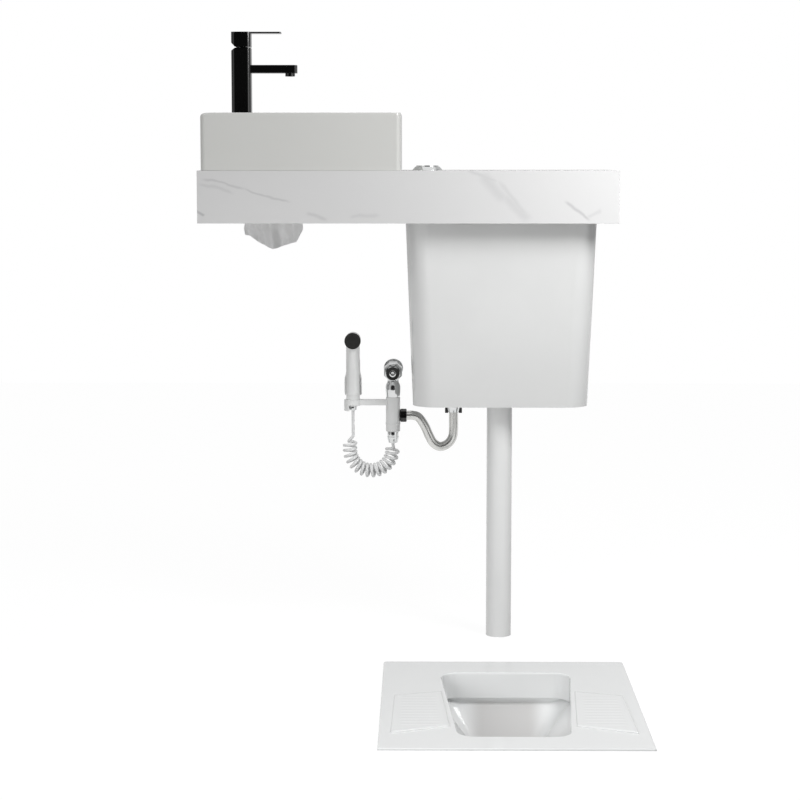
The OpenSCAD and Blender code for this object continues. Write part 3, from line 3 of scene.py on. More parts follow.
import bmesh
import bpy
import numpy as np
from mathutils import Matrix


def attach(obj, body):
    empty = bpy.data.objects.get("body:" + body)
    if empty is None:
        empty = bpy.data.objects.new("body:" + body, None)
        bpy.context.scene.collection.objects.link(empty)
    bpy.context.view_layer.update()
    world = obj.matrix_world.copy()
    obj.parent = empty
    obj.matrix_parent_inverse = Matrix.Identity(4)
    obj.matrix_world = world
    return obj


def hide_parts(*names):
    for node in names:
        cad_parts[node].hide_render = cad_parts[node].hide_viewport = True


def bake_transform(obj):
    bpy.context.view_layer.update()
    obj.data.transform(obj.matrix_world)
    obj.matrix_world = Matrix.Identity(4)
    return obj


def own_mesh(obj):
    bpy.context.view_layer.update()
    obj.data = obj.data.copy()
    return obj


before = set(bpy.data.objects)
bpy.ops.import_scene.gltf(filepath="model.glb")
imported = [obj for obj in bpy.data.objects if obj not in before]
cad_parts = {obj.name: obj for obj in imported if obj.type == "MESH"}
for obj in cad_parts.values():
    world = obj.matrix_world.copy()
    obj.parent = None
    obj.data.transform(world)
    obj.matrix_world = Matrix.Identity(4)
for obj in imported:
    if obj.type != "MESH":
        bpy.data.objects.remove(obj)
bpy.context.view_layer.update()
scene = bpy.context.scene
scene.view_settings.view_transform = "Standard"

# The photograph was taken from about 3.7 m in front of the wall, with the lens just over the counter.
# The frame's origin is on the cistern's wall bolts, 780 mm over the finished floor.
floor = -0.780
camera = bpy.data.objects.new("camera", bpy.data.cameras.new("camera"))
scene.collection.objects.link(camera)
scene.camera = camera
camera.location = (-0.1546, -3.7241, 0.1711)
camera.rotation_euler = (math.pi / 2 - 0.0992, 0, 0.0094)
camera.data.sensor_width = 36
camera.data.lens = 83.12
camera.data.shift_x = -0.005
camera.data.shift_y = -0.075

# Curly hose between the diverter and the hand spray: a white PVC tube wound round a rod when warm,
# so that it springs back. It hangs in a U of 16 curls, with a straight end at each nut.
valve_y = -0.060
stop_x = -0.211
spray_x = -0.291
curls = 16
curl_radius = 0.01175
bend_radius = 0.0425
bend_x = -0.2547
bend_z = floor + 0.366
left_drop = 0.018
right_rise = 0.006
curl_tube = 0.0030


def curve_through(points, steps):
    """Smooth path through points: between b and c, with a before them and d after them, it is half of
    2b + (c - a)t + (2a - 5b + 4c - d)t^2 + (3b - a - 3c + d)t^3."""
    points = np.asarray(points, float)
    last = len(points) - 1
    a, b, c, d = (points[np.clip(np.arange(last) + k, 0, last)][:, None] for k in (-1, 0, 1, 2))
    t = (np.arange(steps) / steps)[None, :, None]
    path = 0.5 * (2 * b + (c - a) * t + (2 * a - 5 * b + 4 * c - d) * t**2 + (3 * b - a - 3 * c + d) * t**3)
    return np.vstack([path.reshape(-1, points.shape[1]), points[-1:]])


def carried(path, side, section):
    """Outline carried along path: path + p u + q v, where (p, q) runs round the outline, u is the side
    direction made square to the path's own direction w, and v = w x u."""
    w = np.gradient(path, axis=0)
    w /= np.linalg.norm(w, axis=1, keepdims=True)
    u = side - (side * w).sum(1, keepdims=True) * w
    u /= np.linalg.norm(u, axis=1, keepdims=True)
    v = np.cross(w, u)
    return path[:, None] + u[:, None] * section[..., :1] + v[:, None] * section[..., 1:]


def circle(radius, around):
    """Radius times (cos a, sin a) over a full turn, with the first point again at the end."""
    a = np.linspace(0, 2 * np.pi, around + 1)
    return radius * np.stack([np.cos(a), np.sin(a)], -1)


def skin(rings, ends="capped"):
    """Points and faces of a grid of rings whose last column repeats the first: quads between neighbours,
    with a flat cap on the first and the last ring, or the last ring joined to the first."""
    rows, columns = rings.shape[:2]
    index = np.arange(rows * columns).reshape(rows, columns)
    if ends == "joined":
        index = np.vstack([index, index[:1]])
    corners = [index[:-1, :-1], index[:-1, 1:], index[1:, 1:], index[1:, :-1]]
    faces = np.stack(corners, -1).reshape(-1, 4).tolist()
    if ends == "capped":
        faces += [index[0, -2::-1].tolist(), index[-1, :-1].tolist()]
    return rings.reshape(-1, 3), faces


def piece(name, skins, material, body="root", replaces=(), uv=None, sharp=35, outwards=True,
          even=False):
    """One mesh of several skins. Doubles are merged, faces point outwards, and edges sharper than the
    given angle in degrees stay sharp in the smooth shading. Even shading keeps large flat faces flat
    beside small ones."""
    starts = np.cumsum([0] + [len(points) for points, faces in skins])
    mesh = bpy.data.meshes.new(name)
    mesh.from_pydata(
        np.vstack([points for points, faces in skins]).tolist(),
        [],
        [[i + start for i in face] for (points, faces), start in zip(skins, starts) for face in faces],
    )
    if uv is not None:
        corners = np.empty(len(mesh.loops), np.int32)
        mesh.loops.foreach_get("vertex_index", corners)
        uv_data = mesh.uv_layers.new(name="UVMap").data
        uv_data.foreach_set("uv", uv.reshape(-1, 2)[corners].astype(np.float32).ravel())
    shell = bmesh.new()
    shell.from_mesh(mesh)
    bmesh.ops.remove_doubles(shell, verts=shell.verts, dist=2e-6)
    if outwards:
        bmesh.ops.recalc_face_normals(shell, faces=shell.faces)
    shell.to_mesh(mesh)
    shell.free()
    mesh.shade_smooth()
    mesh.set_sharp_from_angle(angle=math.radians(sharp))
    mesh.materials.append(material)
    thing = bpy.data.objects.new(name, mesh)
    scene.collection.objects.link(thing)
    if body:
        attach(thing, body)
    if replaces:
        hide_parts(*replaces)
    if even:
        thing.modifiers.new("even_shading", "WEIGHTED_NORMAL").keep_sharp = True
    return thing


def finish(name, colour, rough, **more):
    """Material on the principled shader, with its constants straight on the sockets."""
    made = bpy.data.materials.new(name)
    made.use_nodes = True
    sockets = made.node_tree.nodes["Principled BSDF"].inputs
    sockets["Base Color"].default_value = (*colour, 1)
    sockets["Roughness"].default_value = rough
    for socket, value in more.items():
        sockets[socket.replace("_", " ")].default_value = value
    return made


def add_node(tree, kind, inputs, **settings):
    """New shader node with its settings. Each input, by name or number, takes a value or another node's
    socket."""
    made = tree.nodes.new("ShaderNode" + kind)
    for name, value in settings.items():
        setattr(made, name, value)
    for key, value in inputs.items():
        if isinstance(value, bpy.types.NodeSocket):
            tree.links.new(value, made.inputs[key])
        else:
            made.inputs[key].default_value = value
    return made


def uneven(made, scale, tints=None, rough=None, depth=0, stretch=(1, 1, 1)):
    """Noise on Object coordinates moves the colour between two tints and the roughness between two values,
    and lifts the surface by depth metres. Nearly all of the noise lies between 0.3 and 0.7."""
    low, high = 0.3, 0.7
    tree = made.node_tree
    shader = tree.nodes["Principled BSDF"]
    place = add_node(tree, "TexCoord", {}).outputs["Object"]
    fitted = add_node(tree, "Mapping", {"Vector": place, "Scale": stretch}).outputs["Vector"]
    noise = add_node(tree, "TexNoise", {"Vector": fitted, "Scale": scale, "Detail": 3}).outputs["Fac"]
    if tints:
        ramp = add_node(tree, "ValToRGB", {0: noise})
        for element, position, tint in zip(ramp.color_ramp.elements, (low, high), tints):
            element.position = position
            element.color = (*tint, 1)
        tree.links.new(ramp.outputs[0], shader.inputs["Base Color"])
    if rough:
        spread = add_node(tree, "MapRange", {0: noise, 1: low, 2: high, 3: rough[0], 4: rough[1]})
        tree.links.new(spread.outputs[0], shader.inputs["Roughness"])
    if depth:
        bump = add_node(tree, "Bump", {"Distance": depth, "Height": noise})
        tree.links.new(bump.outputs["Normal"], shader.inputs["Normal"])
    return made


points_a_curl = 8
t = np.arange(1, curls * points_a_curl) / points_a_curl
along = (left_drop + np.pi * bend_radius + right_rise) * t / curls
angle = np.clip((along - left_drop) / (np.pi * bend_radius), 0, 1) * np.pi
straight = np.maximum(left_drop - along, 0) + np.maximum(along - left_drop - np.pi * bend_radius, 0)
middle = np.stack([
    bend_x - bend_radius * np.cos(angle),
    np.full_like(t, valve_y),
    bend_z - bend_radius * np.sin(angle) + straight], -1)
out = np.stack([-np.cos(angle), 0 * t, -np.sin(angle)], -1)
turn = 2 * np.pi * t[:, None]
radial = out * np.cos(turn) + np.array([0, 1, 0]) * np.sin(turn)
# The first and the last half curl open out from the straight ends.
opened = curl_radius * np.minimum(1, np.minimum(t, curls - t) * 2 + 0.04)[:, None]
top_end = np.array([(spray_x, valve_y, floor + height) for height in (0.445, 0.430, 0.415, 0.402, 0.393)])
low_end = np.array([(stop_x, valve_y, floor + height) for height in (0.375, 0.380)])
curl_path = curve_through(np.vstack([top_end, middle + opened * radial, low_end]), 3)
top_side = np.tile(radial[0], (len(top_end), 1))
low_side = np.tile(radial[-1], (len(low_end), 1))
curl_side = curve_through(np.vstack([top_side, radial, low_side]), 3)
hose_white = uneven(
    finish("hose_plastic", (0.80, 0.80, 0.80), 0.28, Coat_Weight=0.3, Coat_Roughness=0.1),
    90, tints=((0.76, 0.77, 0.77), (0.82, 0.82, 0.82)), rough=(0.24, 0.36))
coil = piece(
    "curly_hose", [skin(carried(curl_path, curl_side, circle(curl_tube, 14)))], hose_white,
    body=None, replaces=["coil_hose"], outwards=False)
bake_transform(coil)


def outline(x0, x1, y0, y1, r, z):
    """Row for hoops: a level rectangle with corners of radius r."""
    return [(x0 + x1) / 2, (x1 - x0) / 2, (x1 - x0) / 2, y1, y0, r, r, z, z]


def hoops(rows, turn=8):
    """Rings in metres of the frame, from rows in millimetres and heights over the floor: middle in x, half
    width at the back and at the front, y of the back and of the front, corner radius at the back and at
    the front, height at the back and at the front. Corner k runs centre + radius (cos a, sin a), with a
    over its own quarter turn."""
    middle, half_b, half_f, back, front, r_b, r_f, z_b, z_f = np.asarray(rows, float).T
    x = np.stack([
        middle + half_b - r_b, middle - half_b + r_b, middle - half_f + r_f, middle + half_f - r_f], 1)
    y = np.stack([back - r_b, back - r_b, front + r_f, front + r_f], 1)
    r = np.stack([r_b, r_b, r_f, r_f], 1)[..., None]
    z = np.stack([z_b, z_b, z_f, z_f], 1)
    a = (np.arange(4)[:, None] + np.linspace(0, 1, turn + 1)) * np.pi / 2
    rings = np.stack([x[..., None] + r * np.cos(a), y[..., None] + r * np.sin(a), z[..., None] + 0 * a], -1)
    rings = rings.reshape(len(x), -1, 3) / 1000 + (0, 0, floor)
    return np.concatenate([rings, rings[:, :1]], 1)


def softened(rows, reach, steps=4, closed=False):
    """Rows with their corners rounded. A and C lie on the ways from row P to its two neighbours, reach away
    and at most halfway, and (1 - t)^2 A + 2t(1 - t) P + t^2 C takes the place of P."""
    rows = np.asarray(rows, float)
    reach = np.broadcast_to(np.asarray(reach, float), len(rows))
    ends = []
    for step in (1, -1):
        way = np.roll(rows, step, 0) - rows
        if not closed:
            way[0 if step == 1 else -1] = 0
        share = np.minimum(0.5, reach / np.maximum(np.abs(way).max(1), 1e-9))
        ends.append(rows + way * share[:, None])
    t = np.linspace(0, 1, steps + 1)[None, :, None]
    made = (1 - t)**2 * ends[0][:, None] + 2 * t * (1 - t) * rows[:, None] + t**2 * ends[1][:, None]
    made = made.reshape(-1, rows.shape[1])
    return made[np.r_[True, np.abs(np.diff(made, axis=0)).max(1) > 1e-6]]


def turned(profile, centre, axis=2, around=40, start=0.0):
    """Profile of radius and place along the axis, in millimetres, carried round it: centre + radius
    (p cos a + q sin a) + place n, where n is the frame's direction number axis and p, q the next two."""
    radius, place = (np.asarray(profile, float).T / 1000)[..., None, None]
    a = (np.linspace(0, 2 * np.pi, around + 1) + start)[None, :, None]
    n, p, q = np.eye(3)[[axis, (axis + 1) % 3, (axis + 2) % 3]]
    return np.array(centre) / 1000 + (0, 0, floor) + radius * (p * np.cos(a) + q * np.sin(a)) + place * n


def slab(x0, x1, y0, y1, z0, z1, r, ease):
    """Closed block in millimetres with upright corners of radius r and its other edges rounded by ease."""
    full = (x0, x1, y0, y1, r)
    small = (x0 + ease, x1 - ease, y0 + ease, y1 - ease, max(r - ease, 0.05))
    rows = [outline(*small, z0), outline(*full, z0), outline(*full, z1), outline(*small, z1)]
    return skin(hoops(softened(rows, [0, ease, ease, 0], 3), 4))


# Hand spray: handle, head and spigot moulded in one in white ABS, hung in the holder by its spigot. The
# head holds a black rose, and two lugs behind the handle carry the lever's pin.
hang = (1000 * spray_x, 1000 * valve_y, 0)
spray_white = uneven(
    finish("spray_plastic", (0.79, 0.795, 0.79), 0.2, Coat_Weight=0.4, Coat_Roughness=0.06),
    14, tints=((0.77, 0.775, 0.77), (0.81, 0.815, 0.81)), rough=(0.16, 0.26))
black_plastic = uneven(
    finish("black_plastic", (0.010, 0.010, 0.009), 0.45), 400, rough=(0.34, 0.48), depth=0.00003)
crease = math.radians(32)
weld_reach = 1e-5


def smooth_solids():
    """Node group for the solids of the frame: merge their loose corners, shade them smooth and keep
    the edges sharp where two faces meet at more than the crease angle."""
    group = bpy.data.node_groups.new("smooth_solids", "GeometryNodeTree")
    for way in ("INPUT", "OUTPUT"):
        group.interface.new_socket("Geometry", in_out=way, socket_type="NodeSocketGeometry")
    enter, weld, smooth, edge, test, hard, leave = (
        group.nodes.new(kind) for kind in (
            "NodeGroupInput", "GeometryNodeMergeByDistance", "GeometryNodeSetShadeSmooth",
            "GeometryNodeInputMeshEdgeAngle", "FunctionNodeCompare", "GeometryNodeSetShadeSmooth",
            "NodeGroupOutput"))
    weld.inputs["Distance"].default_value = weld_reach
    test.operation = "GREATER_THAN"
    test.inputs[1].default_value = crease
    hard.domain = "EDGE"
    hard.inputs["Shade Smooth"].default_value = False
    group.links.new(enter.outputs[0], weld.inputs["Geometry"])
    group.links.new(weld.outputs["Geometry"], smooth.inputs["Geometry"])
    group.links.new(smooth.outputs["Geometry"], hard.inputs["Geometry"])
    group.links.new(edge.outputs["Unsigned Angle"], test.inputs[0])
    group.links.new(test.outputs[0], hard.inputs["Selection"])
    group.links.new(hard.outputs["Geometry"], leave.inputs[0])
    return group


smoothing = smooth_solids()


def dress(material, *nodes, ease=0):
    """Gives solids of the frame their material and smooth shading, and eases their edges by a small bevel."""
    for name in nodes:
        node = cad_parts[name]
        for slot in node.material_slots:
            slot.material = material
        if ease:
            node.modifiers.new("weld", "WELD").merge_threshold = weld_reach
            bevel = node.modifiers.new("eased_edges", "BEVEL")
            bevel.width = ease
            bevel.segments = 2
            bevel.limit_method = "ANGLE"
            bevel.angle_limit = crease
        node.modifiers.new("smooth", "NODES").node_group = smoothing


dress(spray_white, "spray_body", ease=0.0012)
dress(black_plastic, "spray_face", ease=0.0006)

# Spray lever: a curved ABS pad round the back of the handle, wide under the fingers and narrow above, on
# an arm with two trunnions. A spring holds it leaning away by 6 degrees.
pivot = np.array([spray_x, -0.0432, floor + 0.556])
lean = math.radians(6)


def leaning(points):
    """Points turned about the lever's pin: y cos l - z sin l and y sin l + z cos l."""
    turn = np.array([[1, 0, 0], [0, math.cos(lean), -math.sin(lean)], [0, math.sin(lean), math.cos(lean)]])
    return pivot + points @ turn.T


# The pad's half width is an angle round the handle: it grows from 0.9 to 1.38 radians below the waist,
# and its foot is rounded off over 8 mm. Heights are from the pin, in millimetres.
pad_foot, pad_top, waist = -82, -10, -42
pad_radii = (15.3, 17.7)
pin_behind = 16.8
drop = np.linspace(pad_foot, pad_top, 25)[:, None]
half_wide = 0.9 + 0.48 / (1 + np.exp((drop - waist) / 2.5))
half_wide = half_wide * np.minimum(1, 0.8 + 0.2 * np.sqrt(np.clip((drop - pad_foot) / 8, 0, 1)))
sweep = np.linspace(-1, 1, 15)[None]
pad_rim = [np.stack([r * np.sin(half_wide * side * sweep), r * np.cos(half_wide * side * sweep) - pin_behind,
                     drop + 0 * sweep], -1) for r, side in zip(pad_radii, (1, -1))]
pad = np.concatenate([*pad_rim, pad_rim[0][:, :1]], 1) / 1000
arm, arm_faces = slab(-3.6, 3.6, -1.2, 1.2, -14, 0, 1, 0.5)
lever_skins = [skin(leaning(pad)), (leaning(arm - (0, 0, floor)), arm_faces)]
for r, half_long in ((2.2, 3.6), (1.5, 7.0)):
    pin_edge = [(r - 0.5, -half_long), (r, -half_long), (r, half_long), (r - 0.5, half_long)]
    pin = turned(softened(pin_edge, [0, 0.4, 0.4, 0]), (0, 0, -1000 * floor), 0, 24)
    lever_skins.append(skin(leaning(pin)))
spray_lever = piece("spray_lever", lever_skins, spray_white, "trigger",
                    replaces=["spray_trigger"])

# Spray collar: the curly hose's upper nut, turned from brass and screwed on the handle's spigot. Like the
# other fittings it is chromed, and its plating has the faint haze of polishing.
chrome = uneven(finish("chrome", (0.70, 0.71, 0.71), 0.08, Metallic=1.0), 60, rough=(0.05, 0.12))
spray_collar = piece(
    "spray_collar", [skin(turned(softened(
        [(3.6, 445), (6.0, 445), (7.6, 447), (7.6, 453), (5, 453)],
        [0, 0.6, 0.5, 0.4, 0]), hang, around=48))],
    chrome, "spray", replaces=["spray_nut"])


# Braided hose from the diverter's side outlet to the cistern's inlet: a rubber tube in a tight sleeve of
# bright steel wire, crimped at both ends. It dips in a bend under the cistern.
braid_radius = 0.00925
braid_route = [(-183.7, 435), (-179, 435), (-172, 435), (-160, 431), (-148, 414), (-139, 394), (-130, 379),
               (-116, 372), (-101, 378), (-92, 391), (-90, 407), (-90, 425), (-90, 442)]


def flat_route(points, y):
    """Points of X and height over the floor in millimetres, as points of the frame at depth y."""
    return np.array([(x / 1000, y, floor + z / 1000) for x, z in points])


def calc(tree, operation, *values):
    """Math node of numbers and sockets, and its output."""
    return add_node(tree, "Math", dict(enumerate(values)), operation=operation).outputs[0]


def braided(name, colour, strands, pitch):
    """Steel braid on the hose's own UVs, u once round it and v in metres along it. Two families of strands
    run at u n + v / pitch and u n - v / pitch; each lies over the other on every second crossing. The gaps
    between the strands are painted darker, as painted shade between the wires."""
    relief, gap_painted_shade, bright_from = 0.00007, 0.55, 0.55
    made = finish(name, colour, 0.15, Metallic=1.0)
    tree = made.node_tree
    shader = tree.nodes["Principled BSDF"]
    spread = add_node(tree, "SeparateXYZ", {0: add_node(tree, "TexCoord", {}).outputs["UV"]})
    round_part = calc(tree, "MULTIPLY", spread.outputs["X"], strands * math.pi)
    along_part = calc(tree, "MULTIPLY", spread.outputs["Y"], math.pi / pitch)
    rising = calc(tree, "SINE", calc(tree, "ADD", round_part, along_part))
    falling = calc(tree, "SINE", calc(tree, "SUBTRACT", round_part, along_part))
    over = calc(tree, "GREATER_THAN", calc(tree, "MULTIPLY", rising, falling), 0)
    upper = calc(tree, "MULTIPLY", calc(tree, "ABSOLUTE", rising), over)
    lower = calc(tree, "MULTIPLY", calc(tree, "ABSOLUTE", falling), calc(tree, "SUBTRACT", 1, over))
    height = calc(tree, "ADD", upper, lower)
    bump = add_node(tree, "Bump", {"Distance": relief, "Height": height})
    tree.links.new(bump.outputs["Normal"], shader.inputs["Normal"])
    # Painted shade: the braid's colour falls to about half in the gaps between the wires.
    shade = add_node(tree, "ValToRGB", {0: height})
    low, high = shade.color_ramp.elements
    low.color = (*[gap_painted_shade * c for c in colour], 1)
    high.position = bright_from
    high.color = (*colour, 1)
    tree.links.new(shade.outputs[0], shader.inputs["Base Color"])
    return made


def hose(name, path, side, radius, material, node, **facts):
    """Round hose along path with its UVs, u round it and v in metres along it."""
    rings = carried(path, np.tile(side, (len(path), 1)), circle(radius, 32))
    far = np.concatenate([[0], np.cumsum(np.linalg.norm(np.diff(path, axis=0), axis=1))])
    uv = np.stack(np.broadcast_arrays(np.linspace(0, 1, rings.shape[1])[None], far[:, None]), -1)
    made = piece(name, [skin(rings)], material, replaces=[node], uv=uv)
    return made


braid_wire = braided("steel_braid", (0.72, 0.72, 0.70), 24, 0.0042)
hose("inlet_hose", curve_through(flat_route(braid_route, valve_y), 6), (0, 1, 0), braid_radius, braid_wire,
     "braided_hose", stiffness="medium", lay="hanging")

# Two supply hoses from the mixer down through the counter and back to the wall. They are thinner hoses
# of the same braid, hidden by the basin and the counter box.
supply_radius = 0.00475
hose_top = np.array([-0.5035, -0.1095, floor + 1.060])
hot_steps = [
    (6, 6.5, 0), (6, 6.5, -24), (6, 6.5, -48), (0.5, 11.5, -70), (-12.5, 21.5, -94), (-24.5, 31.5, -118),
    (-28.5, 34.5, -138), (-28.5, 37.5, -154), (-28.5, 47.5, -168), (-28.5, 63.5, -174),
    (-28.5, 79.5, -174), (-28.5, 94.5, -174)]
cold_steps = [
    (6, -6.5, 0), (6, -6.5, -24), (6, -6.5, -48), (2.5, -2.5, -70), (-5.5, 7.5, -94), (-14.5, 18.5, -118),
    (-17.5, 22.5, -138), (-17.5, 22.5, -165), (-17.5, 25.5, -188), (-17.5, 35.5, -204),
    (-17.5, 51.5, -210), (-17.5, 73.5, -210), (-17.5, 94.5, -210)]
supply_wire = braided("fine_steel_braid", (0.74, 0.74, 0.73), 16, 0.0030)
for name, steps in (("hot_hose", hot_steps), ("cold_hose", cold_steps)):
    hose(name, curve_through(hose_top + np.array(steps) / 1000, 5), (1, 0, 0), supply_radius, supply_wire,
         "supply_hoses", stiffness="medium", lay="hanging")


# Side outlet nut, curly hose nut and the mixer's two wall nuts: chromed brass hexagons with their corners
# turned off on both faces.


def hexagon(flats, from_place, to_place, centre, axis, start=0.0, bore=None):
    """Six-sided nut: a turned profile of six sides whose faces are flats apart, its corners cut on both ends.
    With a bore it is closed inside, otherwise it has two flat ends."""
    bevel = 1.2
    r = flats / math.sqrt(3)
    cut = r - 1.4 * bevel
    rows = [(cut, from_place), (r, from_place + bevel), (r, to_place - bevel), (cut, to_place)]
    if bore:
        rows += [(bore, to_place), (bore, from_place)]
    return skin(turned(rows, centre, axis, 6, start), "joined" if bore else "capped")


stop = (1000 * stop_x, 1000 * valve_y, 0)
tail = turned(softened([(7.6, 380), (9.2, 380), (11.4, 389), (11.4, 403), (9, 403)],
                       [0, 0.8, 1.0, 0.8, 0]), stop)
tail_rim = turned(softened([(11.2, 391), (11.9, 391), (11.9, 393), (11.2, 393)], 0.3, closed=True), stop)
# Painted shade: a copy of the chrome with its colour painted near black, standing for the dark reflections of
# the side nut and the inlet wings.
chrome_painted_dark = uneven(finish("chrome_painted_dark", (0.045, 0.045, 0.045), 0.25, Metallic=1.0), 60, rough=(0.2, 0.3))
piece("side_nut", [hexagon(23, -196.7, -183.7, (0, stop[1], 435), 0, 0.26)], chrome_painted_dark)
wall_nuts = [hexagon(24, -15, 0, outlet, 1, bore=9.5) for outlet in ((-532, 0, 886), (-521, 0, 850))]
piece("hose_nut_set", [skin(tail), skin(tail_rim, "joined"), *wall_nuts], chrome,
      replaces=["hose_nuts"])

# Angle valve: a chromed brass barrel screwed into the wall, an eight-sided body with its edges turned
# off, and a bell-shaped neck down to the diverter.
valve_height = 523
valve_axis = (stop[0], 0, valve_height)
barrel = turned(softened([(9, 3), (11, 3), (11, -36), (9, -36)], [0, 0.5, 0.3, 0]), valve_axis, 1)
ridges = np.linspace(4, 15, 23)
thread = turned(np.c_[np.where(np.arange(len(ridges)) % 2, 10.3, 9.5), ridges], valve_axis, 1)
octagon = turned(softened([(13, -34), (17.2, -34), (19.4, -37), (19.4, -71), (16.4, -76), (12, -76)],
                          [0, 0.4, 0.5, 0.5, 0.5, 0], 2), valve_axis, 1, 8, math.pi / 8)
gland = turned(softened([(12, -75), (14.8, -75), (14.8, -82), (12, -82)], [0, 0.3, 0.9, 0]), valve_axis, 1)
bell = turned(softened(
    [(11, 471.8), (13.4, 471.8), (14.6, 480), (14.9, 489), (14.2, 497), (10.8, 503), (11.5, 512)],
    [0, 0.8, 3, 4, 4, 3, 0], 6), stop)
piece("angle_valve", [skin(barrel), skin(thread), skin(octagon), skin(gland), skin(bell)], chrome,
      replaces=["stop_valve"])

# Wall plate: a rosette pressed from brass sheet and chromed. It slides over the barrel and covers the
# hole in the wall.
plate_edge = softened([(11.05, 0), (19.6, 0), (19.6, -1.4), (16.5, -4.4), (14.2, -6), (11.05, -6)],
                      [0, 0.3, 0.8, 3, 0.8, 0.3], closed=True)
piece("wall_plate", [skin(turned(plate_edge, valve_axis, 1, 56), "joined")], chrome,
      replaces=["wall_flange"])

# Knob: chromed zinc with six finger ridges, turned a quarter to close. A black ring and a chrome cap with
# a small centre screw fill its front.
grooved = turned(softened(
    [(9, -82.4), (12.3, -82.4), (13.2, -84), (13.2, -95), (12.6, -96.3), (6.9, -96.3)],
    [0, 0.6, 0.8, 0.8, 0.5, 0]), valve_axis, 1, 96)
ridge_foot, ridge_height, ridge_count = 0.0122, 0.001, 6
spoke = (grooved - np.array([stop_x, 0, floor + valve_height / 1000])) * (1, 0, 1)
reach = np.linalg.norm(spoke, axis=-1, keepdims=True)
spin = np.arctan2(spoke[..., 2:], spoke[..., :1])
wave = ridge_height * np.clip(np.cos(ridge_count * spin), -0.4, 1)
knob_grip = grooved + spoke / reach * np.where(reach > ridge_foot, wave, 0)
knob_cap = turned(softened(
    [(6.8, -95.5), (6.8, -99), (5.4, -99.3), (2.2, -99.3), (1.7, -98.2), (0, -98.2)],
    [0, 0.9, 1.2, 0.2, 0.3, 0]), valve_axis, 1)
piece("valve_grip", [skin(knob_grip), skin(knob_cap)], chrome, "knob", replaces=["valve_knob"])
ring_edge = softened([(6.85, -96.3), (13.2, -96.3), (13.2, -98.5), (6.85, -98.0)],
                     [0.1, 0.2, 0.8, 0.2], closed=True)
piece("grip_ring", [skin(turned(ring_edge, valve_axis, 1, 56), "joined")], black_plastic,
      "knob", replaces=["knob_ring"])

# Diverter: a white ABS body round a brass core, screwed to the valve's neck, with a raised band over the
# hose nut. Its side outlet feeds the cistern.
diverter_shell = turned(softened([(11, 403), (14.3, 403), (14.3, 472), (12, 472)], [0, 1.4, 0.9, 0]), stop)
band = turned(softened([(14, 417), (15, 417), (15, 421), (14, 421)], 0.5, closed=True), stop)
piece("diverter", [skin(diverter_shell), skin(band, "joined")], spray_white,
      replaces=["diverter_body"])

# Holder: an arm pinched round the diverter, with a ring for the spray's spigot and a cupped lip on its
# left. Moulded in one in white ABS.
cup_height, cup_radius = 0.4513, 0.0165
cup_angle = np.radians(np.linspace(117, 243, 25))
cup_path = np.array([spray_x, valve_y, floor + cup_height]) + cup_radius * np.stack(
    [np.cos(cup_angle), np.sin(cup_angle), 0 * cup_angle], -1)
cup_rim = softened([(-6.3, -1.5), (6.3, -1.5), (6.3, 1.5), (-6.3, 1.5)], 0.9, closed=True) / 1000
cup_rim = np.vstack([cup_rim, cup_rim[:1]])
eye = turned(softened([(9.5, 456), (18, 456), (18, 467), (9.5, 467)], 1.0, closed=True), hang, around=56)
piece("holder", [
    slab(-283, -222.4, -70, -50, 456.2, 466.8, 2, 1.6), skin(eye, "joined"),
    skin(carried(cup_path, np.tile([0, 0, 1.0], (len(cup_path), 1)), cup_rim)),
], spray_white, replaces=["spray_holder"])

# Wing nut on the cistern's inlet: a tapered hub with two flat wings, cast in brass and plated, screwed by
# hand on the fill valve's thread.
inlet = (-90, 1000 * valve_y, 0)
hub = turned(softened([(10.25, 442), (11.4, 442), (13, 450), (13, 464.5), (10.25, 464.5)],
                      [0.2, 0.6, 2, 0.5, 0.2], closed=True), inlet)
piece("inlet_hub", [skin(hub, "joined")], chrome)
piece("inlet_wings", [
    slab(-107, -100.5, -62, -58, 440, 464.5, 1.8, 1), slab(-79.5, -73, -62, -58, 440, 464.5, 1.8, 1),
], chrome_painted_dark, replaces=["inlet_wing_nut"])

# Push buttons, their bezel, and the basin's waste with its click plug: turned from brass and chromed. The
# bezel is let into the counter, and the waste sits in the hole of the basin's floor.
dress(chrome, "button_bezel", "full_button", "half_button", "drain_flange", "drain_plug", ease=0.0005)

# Button springs: 1.3 mm steel wire wound round each push rod, with closed coils at both ends. They stand
# on the bezel's floor, and the button presses them flat.
steel_wire = uneven(finish("spring_steel", (0.52, 0.52, 0.51), 0.25, Metallic=1.0), 400, rough=(0.2, 0.34))
spring_foot = floor + 0.8933
button_x, coil_radius, wire_radius, half_turns = -0.143, 0.00485, 0.00064, 18
share = np.linspace(0, 1, 361)
rise = np.interp(share, [0, 0.14, 0.86, 1], [0.00065, 0.00195, 0.0252, 0.0265])
for name, node, joint, y in (("full_coil", "full_button_spring", "full_push", -0.114),
                             ("half_coil", "half_button_spring", "half_push", -0.096)):
    wound = np.stack([button_x + coil_radius * np.cos(share * half_turns * np.pi),
                      y + coil_radius * np.sin(share * half_turns * np.pi), spring_foot + rise], -1)
    upright = np.tile([0, 0, 1.0], (len(wound), 1))
    spring = piece(name, [skin(carried(wound, upright, circle(wire_radius, 8)))], steel_wire,
                   replaces=[node], outwards=False)
    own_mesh(spring)

# Counter: slabs of sintered stone mitred and glued round a hollow box, white with soft grey veins that run
# on from the top over the front edge.
stone = uneven(finish("stone", (0.80, 0.80, 0.80), 0.24, Coat_Weight=0.25, Coat_Roughness=0.12), 5,
               rough=(0.20, 0.27))
